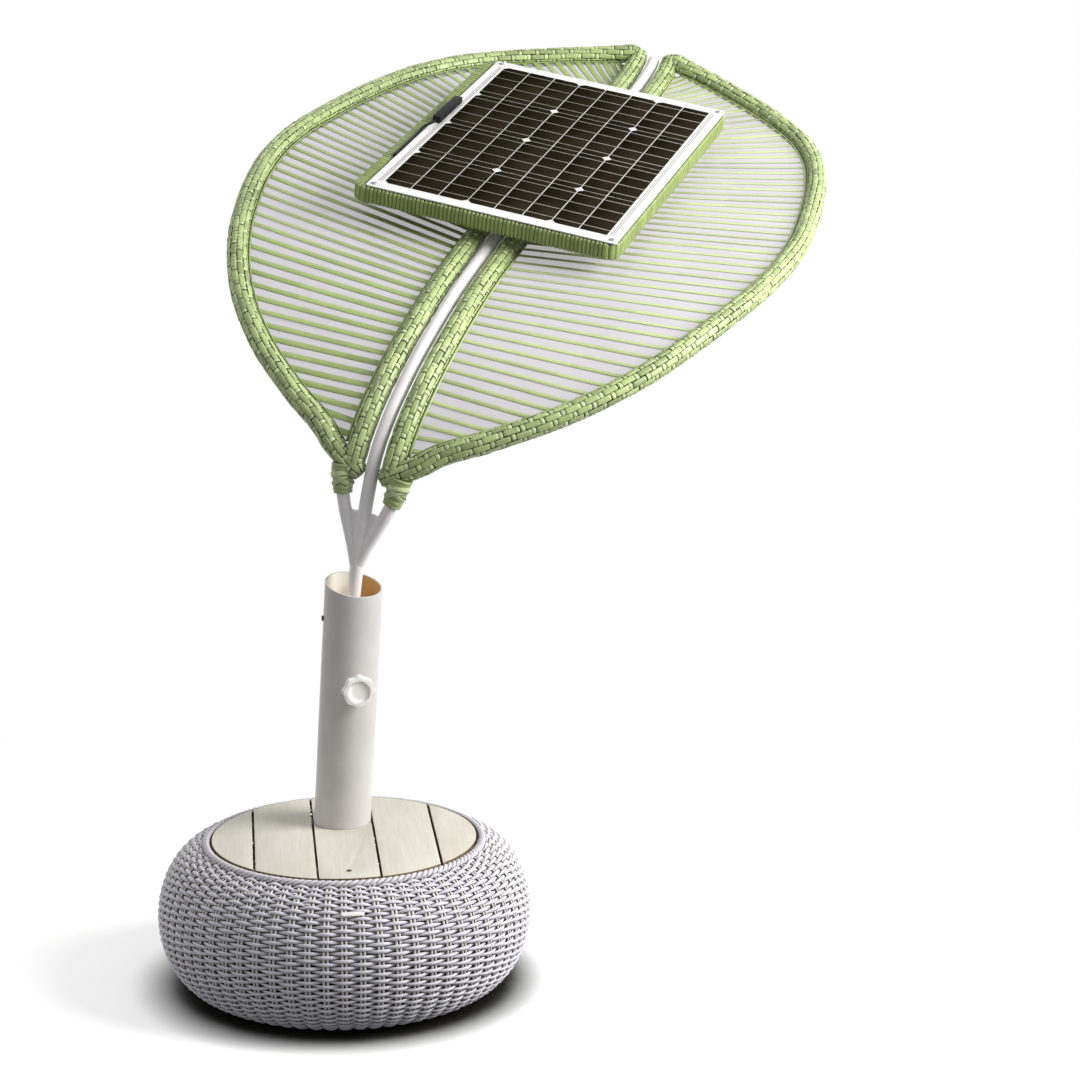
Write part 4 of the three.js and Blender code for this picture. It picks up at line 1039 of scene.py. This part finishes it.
def make_branch(side, word):
    """Branch tube and its web, melted together as a weld would."""
    skin = Skin()
    skin.add(tube_grid(branch_line(side), branch_radius, 24), caps=True)
    rise = branch_sleeve_rise - branch_foot_rise
    reach = spine_reach((web_bottom_rise + web_top_rise) / 2)
    near = reach - web_thickness / 2
    far = reach + web_thickness / 2
    levels = np.linspace(web_bottom_rise - web_sink, web_top_rise, 12)
    web = []
    for level in levels:
        spread = side * branch_spread * (level - branch_foot_rise) / rise
        low = level - web_dip * (level == levels[-1])
        web.append([(0, near, level), (spread, near, low), (spread, far, low), (0, far, level)])
    skin.add(web, caps=True)
    piece = skin.build("fork_" + word, "canopy", [pipe_look], ["branch_" + word])
    melt(piece)
    piece.data.transform(Matrix(leaf_frame.tolist()))
    drop_uv(piece.data)
    piece.data.shade_smooth()


def melt(piece):
    """Joins a piece's overlapping forms into one smooth skin."""
    remesh = piece.modifiers.new("melt", "REMESH")
    remesh.mode = "VOXEL"
    remesh.voxel_size = weld_voxel
    smooth = piece.modifiers.new("smooth", "SMOOTH")
    smooth.factor = 0.5
    smooth.iterations = weld_rounds
    bpy.context.view_layer.update()
    graph = bpy.context.evaluated_depsgraph_get()
    mesh = bpy.data.meshes.new_from_object(piece.evaluated_get(graph), depsgraph=graph)
    mesh.name = piece.name
    mesh.materials.clear()
    for look in piece.data.materials:
        mesh.materials.append(look)
    piece.modifiers.clear()
    piece.data = mesh


# Rim of each half, flat: along the pipe, then across
def rim_line():
    points = [(base_corner_place, rail_offset)]
    for along, width in zip(rim_along_shares, rim_width_shares):
        points.append((along * leaf_length, width * leaf_half_width))
    points.append((leaf_length - tip_corner_inset, rail_offset))
    return Line(points, 200)


rim = rim_line()


class WrapPath:
    """Centre line of one wrapped rod, with its up and side directions."""

    def __init__(self, flat, side):
        flat = spaced(np.column_stack([flat, np.zeros(len(flat))]), wrap_step)
        self.centre = leaf_point(flat[:, 0], flat[:, 1] * side)
        tangents = directions(self.centre)
        up = leaf_normal(flat[:, 0])
        self.up = unit(up - (up * tangents).sum(1, keepdims=True) * tangents)
        self.side = np.cross(tangents, self.up)
        self.lengths = distances(self.centre)
        self.length = self.lengths[-1]

    def on(self, distance, angle, radius):
        """Points round the rod's line, at an angle from its up direction."""
        distance, angle, radius = np.broadcast_arrays(distance, angle, radius)
        place = np.clip(distance, 0, self.length)
        centre, up, side = (between(place, self.lengths, v) for v in (self.centre, self.up, self.side))
        end = np.minimum(distance, self.length - distance) / end_round
        reach = radius * (1 - end_narrowing_share * np.exp(-(np.maximum(end, 0) ** 2)))
        away = np.cos(angle)[..., None] * up + np.sin(angle)[..., None] * side
        return centre + reach[..., None] * away


def rail_path(side):
    along = np.linspace(rail_start, leaf_length + rail_overhang, 500)
    return WrapPath(np.column_stack([along, np.full(len(along), rail_offset)]), side)


def rim_path(side):
    """The rim, which runs on past the rail to the pipe at the lower corner."""
    flat = rim.at(np.linspace(rim_corner_reach, rim.length, 700))
    share = np.linspace(0, 1, 24)[:-1, None]
    corner = np.array(rim_corner) * (1 - share) + flat[0] * share
    bend = rim.along(rim_corner_reach)[0] * rim_corner_reach * rim_corner_bend_share
    corner = corner - (share**2 * (1 - share)) * bend
    return WrapPath(np.vstack([corner, flat]), side)


def strip_levels(edge_drop, crown, under):
    """Heights of a flat strip's six corners, over its middle line."""
    return np.array([-edge_drop, crown, crown, -edge_drop, -under, -under])


def add_wrap(skin, path, mark):
    """Strips along a rod, each over and under the strips that are wound round it."""
    periods = max(int(round(path.length / wrap_period)), 1)
    period = path.length / periods
    width = wrap_strip_width / wrap_middle / 2
    crown = strip_levels(wrap_edge_drop, strip_crown, wrap_strip_thickness)
    all_places = (np.arange(periods + 2)[:, None] + np.array(brick_places)).ravel()
    for row in range(wrap_rows):
        offset = 0.5 * (row % 2)
        places = all_places - 1 + offset
        inside = places[(places > 0.01) & (places < periods - 0.01)]
        places = np.concatenate([[0.0], inside, [float(periods)]])
        distance = places * period
        near = np.abs(places - offset - np.round(places - offset))
        dip = np.exp(-((near / dip_reach_share) ** 4))
        middle = wrap_middle + wrap_swing * (1 - dip_depth_share * dip)
        lift = wrap_unevenness * np.sin(distance * 37 + row * 2.1)
        swerve = wrap_swerve * np.sin(distance * 23 + row * 1.3)
        angle = turn * (row + 0.5) / wrap_rows + swerve
        angles = angle[:, None] + strip_corners * width * (1 - dip_narrowing_share * dip)[:, None]
        grid = path.on(distance[:, None], angles, (middle + lift)[:, None] + crown)
        skin.add(grid, mark + row, places - offset + 20, caps=True)
    mark = mark + wrap_rows
    ring = np.arange(2 * periods - 1)[:, None] + 1
    alpha = circle(wrap_rows * 4)
    wave = np.cos(alpha * wrap_rows / 2 - math.pi / 2 + ring * math.pi)
    middle = wrap_middle - winding_sink + wrap_swing * wave
    lean = winding_lean * np.sin(alpha + ring * 1.9)
    distance = (ring * period / 2 + lean)[..., None] + winding_corners * winding_width
    grid = path.on(distance, alpha[:, None], middle[..., None] + crown * 0.8)
    skin.add(grid, mark + ring[:, 0], alpha * wrap_rows / turn / 2 + 0.5, along=True, look=2)
    mark = mark + len(ring) + 1
    # A dark core under the strips, coloured as painted shade in the gaps.
    core_places = np.linspace(0, path.length, int(path.length / core_step))
    core = path.on(core_places[:, None], circle(16), wrap_middle - wrap_core_inset)
    skin.add(core, mark, caps=True, look=1)
    return mark + 1


def make_wrap(side, word):
    skin = Skin()
    mark = add_wrap(skin, rail_path(side), 0)
    mark = add_wrap(skin, rim_path(side), mark)
    add_sleeve(skin, side, mark)
    name = "woven_loop_" + word
    looks = [green_look, painted_shade_core_look, winding_look]
    skin.build(name, "canopy", looks, ["leaf_wrap_" + word])


def add_sleeve(skin, side, mark):
    """Flat turns of strip from the branch up into the corner of the loop, and three crossed bands."""
    line = branch_line(side)
    line = spaced(placed(leaf_frame, line[line[:, 2] > sleeve_start_rise]), sleeve_step)
    lengths = distances(line)
    place = (lengths[:, None] + sleeve_lean * np.cos(circle(32) + 0.8)) / sleeve_turn
    number = np.floor(place)
    crown = sleeve_crown * (1 - np.abs(2 * (place - number) - 1) ** 3)
    flare = sleeve_flare * np.clip(lengths / sleeve_flare_reach, 0, 1)[:, None] ** 1.5
    radius = sleeve_radius + flare + crown + sleeve_unevenness * np.sin(number * 2.3)
    grid = line[:, None] + (tube_grid(line, 1.0, 32) - line[:, None]) * radius[..., None]
    skin.add(grid, mark, np.floor(lengths / sleeve_turn) + 0.5, caps=True)
    middle = line[int(len(line) * band_place_share)]
    along = unit(line[-1] - line[0])
    out = -leaf_frame[:3, 1]
    aside = np.cross(along, out)
    facing = unit(out + 0.15 * along)
    around = circle(40)[:, None]
    raised = strip_levels(band_edge_drop, strip_crown, band_thickness)
    for lean, lift in band_leans_and_lifts:
        mark = mark + 1
        tilted = math.cos(lean) * aside + math.sin(lean) * along
        ring = (sleeve_radius + band_side_reach) * np.cos(around) * tilted
        ring = ring + (sleeve_radius + band_front_reach) * np.sin(around) * facing
        centre = middle + along * lift + ring
        band = centre[:, None] + (strip_corners * band_half_width)[:, None] * np.cross(tilted, facing)
        band = band + raised[:, None] * unit(ring)[:, None]
        skin.add(band, mark, around[:, 0] * 2 / turn, along=True, look=2)


def inner_edges(share, tuck=0):
    """Ends of a strip, tucked under the rail and the rim, with its direction across the leaf."""
    edge_offset = wrap_radius + strip_edge_gap
    start = base_corner_place + strip_base_inset
    end = leaf_length - tip_corner_inset - strip_tip_inset
    beside = np.full(len(share), rail_offset + edge_offset)
    rail = np.stack([start + (end - start) * share, beside], axis=1)
    crowded = 1 - (1 - share) ** strip_crowding
    distance = strip_base_inset + (rim.length - strip_base_inset - strip_tip_inset) * crowded
    tangent = rim.along(distance)
    edge = rim.at(distance) + edge_offset * np.stack([tangent[:, 1], -tangent[:, 0]], axis=1)
    across = unit(edge - rail)
    return rail - across * tuck, edge + across * tuck, across


def make_strips(side, word):
    skin = Skin()
    # The right half takes the paler copy of the string, with its painted sheen.
    look = string_look if side < 0 else sheen_painted_string_look
    share = (np.arange(strip_count) + 0.5) / strip_count
    rail, edge, across = inner_edges(share, strip_tuck)
    beside = np.stack([-across[:, 1], across[:, 0]], axis=1)
    steps = np.linspace(0, 1, 22)
    columns = np.array([-0.5, -0.42, 0.42, 0.5, 0.42, -0.42]) * strip_widths[side]
    levels = np.array([0, 0.5, 0.5, 0, -0.5, -0.5]) * strip_thickness
    twist = np.radians(chance.uniform(-strip_lean_angle, strip_lean_angle, strip_count))[:, None]
    twist_on = np.radians(chance.uniform(-strip_twist_angle, strip_twist_angle, strip_count))[:, None]
    aside = chance.uniform(-strip_stray, strip_stray, strip_count)[:, None]
    bow = 4 * steps * (1 - steps)
    angle = (twist + twist_on * steps)[..., None]
    middle = rail[:, None] + (edge - rail)[:, None] * steps[:, None]
    middle = middle + (aside * bow)[..., None] * beside[:, None]
    flat = middle[:, :, None] + (columns * np.cos(angle))[..., None] * beside[:, None, None]
    height = strip_lift + levels + columns * np.sin(angle) - strip_sag * bow[:, None]
    skin.add(leaf_grid(flat, side, height), np.arange(strip_count), steps * 3, caps=True)
    fine = np.linspace(0, 1, 160)
    rail, edge, across = inner_edges(fine)
    inward = edge_strip_places - edge_strip_overlap
    rise = strip_lift + np.array([0, 1, 1, 0, -1, -1]) * edge_strip_rise
    for number, (end, direction) in enumerate(((rail, across), (edge, -across))):
        flat = end[:, None] + inward[:, None] * direction[:, None]
        skin.add(leaf_grid(flat, side, rise), strip_count + number, fine * 40, caps=True)
    skin.build("strung_strips_" + word, "canopy", [look], ["strip_net_" + word])


def make_cloth(side, word):
    skin = Skin()
    share = np.linspace(0, 1, 90)
    rail, edge = inner_edges(share, cloth_tuck)[:2]
    steps = np.linspace(0, 1, 26)
    flat = rail[:, None] + (edge - rail)[:, None] * steps[:, None]
    ends = np.minimum(1, 12 * np.minimum(share, 1 - share))[:, None]
    bow = 4 * steps * (1 - steps)
    ripple = cloth_ripple * np.sin(share[:, None] * 60 + steps * 4)
    height = -cloth_drop - cloth_sag * bow * ends + ripple * bow
    skin.add(leaf_grid(flat, side, height), 0, share * leaf_length, around=False)
    piece = skin.build("shade_" + word, "canopy", [cloth_look], ["shade_cloth_" + word])
    map_flat(piece.data, flat.reshape(-1, 2))


# Panel
def panel_place_matrix():
    middle = leaf_local(panel_place, 0, panel_lift)[0]
    rising = spine.along(fork_length + panel_place)[0]
    slope = math.degrees(math.atan2(rising[1], rising[0]))
    return leaf_frame @ shift(0, middle[1], middle[2]) @ turned("X", slope + panel_tilt_angle)


panel_frame = panel_place_matrix()
field_x = cell_pitch_x * cell_columns / 2
field_y = cell_pitch_y * cell_rows / 2
sheet_x = field_x + sheet_margin
sheet_y = field_y + sheet_margin
bar_x = sheet_x + bar_overhang
bar_y = sheet_y + bar_overhang / 3
bar_top = -sheet_thickness - part_gap


def plate(outline_points, low, high, rounding=plate_round):
    """Rings of a flat plate with softened edges, from an outline."""
    centre = outline_points.mean(0)
    away = unit(outline_points - centre)
    rings = []
    for inset, level in ((rounding, low), (0, low + rounding), (0, high - rounding), (rounding, high)):
        flat = outline_points - away * inset
        rings.append(np.column_stack([flat, np.full(len(flat), level)]))
    return np.array(rings)


def rounded_rectangle(x, y, radius, steps=6):
    points = []
    for i, (sx, sy) in enumerate(((1, 1), (-1, 1), (-1, -1), (1, -1))):
        for angle in np.linspace(0, math.pi / 2, steps + 1) + i * math.pi / 2:
            points.append((
                sx * (x - radius) + radius * math.cos(angle),
                sy * (y - radius) + radius * math.sin(angle),
            ))
    return np.array(points)


def make_sheet():
    skin = Skin()
    outline = rounded_rectangle(sheet_x, sheet_y, sheet_corner)
    skin.add(placed(panel_frame, plate(outline, -sheet_thickness, 0)), caps=True)
    piece = skin.build("laminate", "canopy", [sheet_look], ["panel_sheet"])
    piece.data.set_sharp_from_angle(angle=sharp_angle)


def cell_outline(left, right):
    """Outline of a cell round its middle, with the corners cut on its left and its right."""
    half_x = (cell_pitch_x - cell_spacing) / 2
    half_y = (cell_pitch_y - cell_spacing) / 2
    points = []
    for x, y, cut in ((-1, -1, left), (1, -1, right), (1, 1, right), (-1, 1, left)):
        corner = [(x * half_x, y * (half_y - cut)), (x * (half_x - cut), y * half_y)]
        points += corner if x == y else corner[::-1]
    return np.array(points)


def make_cells():
    """Rows of cells, three from each wafer, with busbars along them."""
    high = part_gap + cell_thickness
    half_bar = (field_x - busbar_inset, busbar_width / 2)
    bar_outline = np.array([(-1, -1), (1, -1), (1, 1), (-1, 1)]) * half_bar
    for row in range(cell_rows):
        skin = Skin()
        y = (row - (cell_rows - 1) / 2) * cell_pitch_y
        for column in range(cell_columns):
            x = (column - (cell_columns - 1) / 2) * cell_pitch_x
            place = column % wafer_cells
            left = cell_chamfer if place == 0 else cell_trim
            right = cell_chamfer if place == wafer_cells - 1 else cell_trim
            grid = plate(cell_outline(left, right) + (x, y), part_gap, high, cell_round)
            skin.add(placed(panel_frame, grid), column, caps=True)
        for line in range(busbars):
            level = y + (line - (busbars - 1) / 2) * cell_pitch_y / busbars
            grid = plate(bar_outline + (0, level), high - busbar_sink, high + busbar_rise, cell_round)
            skin.add(placed(panel_frame, grid), 20 + line, caps=True, look=1)
        looks = [cell_look, busbar_look]
        replaced = [f"cell_string_{row + 1}"]
        map_panel(skin.build(f"cells_{row + 1}", "canopy", looks, replaced, smooth=False))


def map_panel(piece):
    """Maps a piece of the panel flat, in metres along the panel."""
    back = Matrix(np.linalg.inv(panel_frame).tolist())
    map_flat(piece.data, [(back @ v.co)[:2] for v in piece.data.vertices])


def make_panel_wrap():
    """Strip wound round the panel's frame, as one skin with a groove between turns."""
    skin = Skin()
    flat = rounded_rectangle(bar_x - bar_width / 2, bar_y - bar_width / 2, frame_corner, 10)
    flat = np.column_stack([flat, np.zeros(len(flat))])
    length = np.linalg.norm(np.roll(flat, -1, 0) - flat, axis=1).sum()
    count = int(round(length / frame_winding))
    line = spaced(flat, length / count / winding_samples, closed=True)
    tangents = directions(line, closed=True)
    out = np.stack([tangents[:, 1], -tangents[:, 0], np.zeros(len(line))], axis=1)
    half_width = bar_width / 2 - frame_crown
    section = rounded_rectangle(half_width, bar_height / 2 - frame_crown, bar_rounding, 5)
    place = np.arange(len(line)) * count / len(line)
    which = np.floor(place).astype(int) % count
    edge = np.abs(2 * (place - np.floor(place)) - 1)
    crown = frame_crown * (1 - edge**3) - frame_groove * (edge > groove_share)
    loose = chance.uniform(*turn_looseness, count)[which]
    lean = chance.uniform(-turn_lean, turn_lean, count)[which]
    shape = section + (crown + loose)[:, None, None] * unit(section)
    grid = line[:, None] - (bar_side_shift, 0, 0) + shape[..., :1] * out[:, None]
    grid = grid + (lean[:, None] * shape[..., 1] / bar_height)[..., None] * tangents[:, None]
    grid[..., 2] = bar_top - bar_height / 2 + shape[..., 1]
    skin.add(placed(panel_frame, grid), 0, place + 5, along=True)
    bars = ["panel_bar_" + word for word in ("front", "rear", "left", "right")]
    skin.build("wound_frame", "canopy", [wound_look], bars)


def make_margin_marks():
    """Thin grey lines on the laminate's margins, and the rims of its four holes."""
    lines = Skin()
    rims = Skin()
    mark = rounded_rectangle(line_half_width, field_y - line_end_inset, part_gap, 2)
    rings = np.array([ring_points(r, part_gap + rise, circle(32)) for r, rise in hole_rim_profile])
    for x in (-1, 1):
        for inset in line_insets:
            points = mark + (x * (field_x + inset), 0)
            grid = plate(points, part_gap / 2, part_gap + line_rise, cell_round)
            lines.add(placed(panel_frame, grid), caps=True)
        for y in (-1, 1):
            middle = (x * (sheet_x - hole_inset), y * (sheet_y - hole_inset), 0)
            rims.add(placed(panel_frame, rings + middle), along=True)
    map_panel(lines.build("margin_lines", "canopy", [margin_look]))
    rims.build("hole_rims", "canopy", [steel_look])


# Everything that keeps its CAD shape
def dress_nodes():
    plain = [
        (iron_look, ["ballast_plate"]),
        (post_look, ["post_flange"]),
        (black_look, ["battery_case", "charge_controller", "box_lead"]),
        (frame_look, ["seat_frame", "bearer_front", "bearer_rear", "leaf_rod_left", "leaf_rod_right"]),
        (nylon_look, ["upper_guide", "clamp_collar", "pipe_foot"]),
        (steel_look, ["clamp_screw", "flange_bolt_1", "flange_bolt_2", "flange_bolt_3"]),
    ]
    for look, nodes in plain:
        for node in nodes:
            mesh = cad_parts[node].data
            mesh.materials.clear()
            mesh.materials.append(look)
    rounded = [
        (["crossbar_front", "crossbar_rear"], wide_edge_round, frame_look, "inner_frame", "canopy"),
        (["saddle_front", "saddle_rear"], wide_edge_round, pipe_look, "white_paint", "canopy"),
        (["saddle_strap_front", "saddle_strap_rear"], thin_edge_round, pipe_look, "white_paint", "canopy"),
        (["junction_box"], box_round, black_look, "black_plastic", "canopy"),
        (["knob_washer"], washer_round, nylon_look, "nylon", "knob_carrier"),
        (["plank_screw"], thin_edge_round, dark_steel_look, "fastener", "seat"),
        (["guide_screw"], guide_screw_round, dark_steel_look, "fastener", "seat"),
        ([f"panel_screw_{i}" for i in range(1, 5)], panel_screw_round, steel_look, "fastener", "canopy"),
    ]
    for nodes, width, look, slot, body in rounded:
        for node in nodes:
            softened(node, width, look, body)


# Stage and light
floor_size = 40
floor_near = 0.75
floor_far = 1.9
floor_shade_reach = 0.12
floor_own_light = 0.36
world_front_light = 0.34
world_back_light = 0.86
world_side_share = 0.5


def make_stage():
    bpy.ops.mesh.primitive_plane_add(size=floor_size, location=(0, 0, 0))
    floor = bpy.context.object
    floor.name = "floor"
    n = Look("floor")
    seen = n.seen()
    # Painted contact shadow: ambient occlusion darkens the floor's colour near the seat to a near black,
    # and dims its own glow there too.
    open_floor = n.painted_shade(floor_shade_reach, 0.40, 0.88, 24)
    lit = n.blend(open_floor, colour(20, 19, 14), colour(248, 248, 248))
    n.finish(n.blend(seen, colour(86, 86, 86), lit), 0.9, Specular_IOR_Level=0.1)
    own_light = n.math("MULTIPLY", n.math("MULTIPLY", seen, open_floor), floor_own_light)
    glow = n.add("Emission", {"Color": (1, 1, 1, 1), "Strength": own_light})
    both = n.add("AddShader", {0: n.shader.outputs[0], 1: glow.outputs[0]})
    away = n.add("VectorMath", {"Vector": n.place()}, operation="LENGTH").outputs["Value"]
    far = n.math("MULTIPLY", n.ramp(away, floor_near, floor_far, kind="SMOOTHSTEP"), seen)
    white = n.add("Emission", {"Color": (1, 1, 1, 1), "Strength": 1.0})
    spread = n.add("MixShader", {0: far, 1: both.outputs[0], 2: white.outputs[0]})
    n.feed(n.surface, spread.outputs[0])
    floor.data.materials.append(n.material)


def make_world():
    """White for the camera, and for the object softer light from the front than from behind."""
    world = bpy.data.worlds.new("studio")
    bpy.context.scene.world = world
    n = Nodes(world)
    parts = n.split(n.place("Generated"))
    side = n.math("MULTIPLY_ADD", parts["X"], -world_side_share, parts["Y"])
    studio = n.ramp(side, -1, 1, world_front_light, world_back_light, "SMOOTHSTEP")
    background = n.tree.nodes["Background"]
    n.feed(background.inputs["Strength"], n.ramp(n.seen(), 0, 1, studio, 1))
    n.feed(background.inputs["Color"], (1, 1, 1, 1))


def make_lamp(name, place, target, size, power, tone):
    data = bpy.data.lights.new(name, "AREA")
    data.shape = "DISK"
    data.size = size
    data.energy = power
    data.color = tone
    lamp = bpy.data.objects.new(name, data)
    lamp.location = place
    aim = Vector(target) - Vector(place)
    lamp.rotation_euler = aim.to_track_quat("-Z", "Y").to_euler()
    bpy.context.scene.collection.objects.link(lamp)


make_weave()
make_braid()
make_planks()
make_tag()
make_post()
make_knob()
make_pipe()
for half, half_word in ((-1, "left"), (1, "right")):
    make_branch(half, half_word)
    make_wrap(half, half_word)
    make_strips(half, half_word)
    make_cloth(half, half_word)
make_sheet()
make_cells()
make_margin_marks()
make_panel_wrap()
dress_nodes()
make_stage()
make_world()
make_lamp("key", (3.1, -0.8, 2.4), (0.2, 0.1, 0.6), 2.4, 192, (1, 0.99, 0.975))
bpy.context.scene.view_settings.view_transform = "Standard"
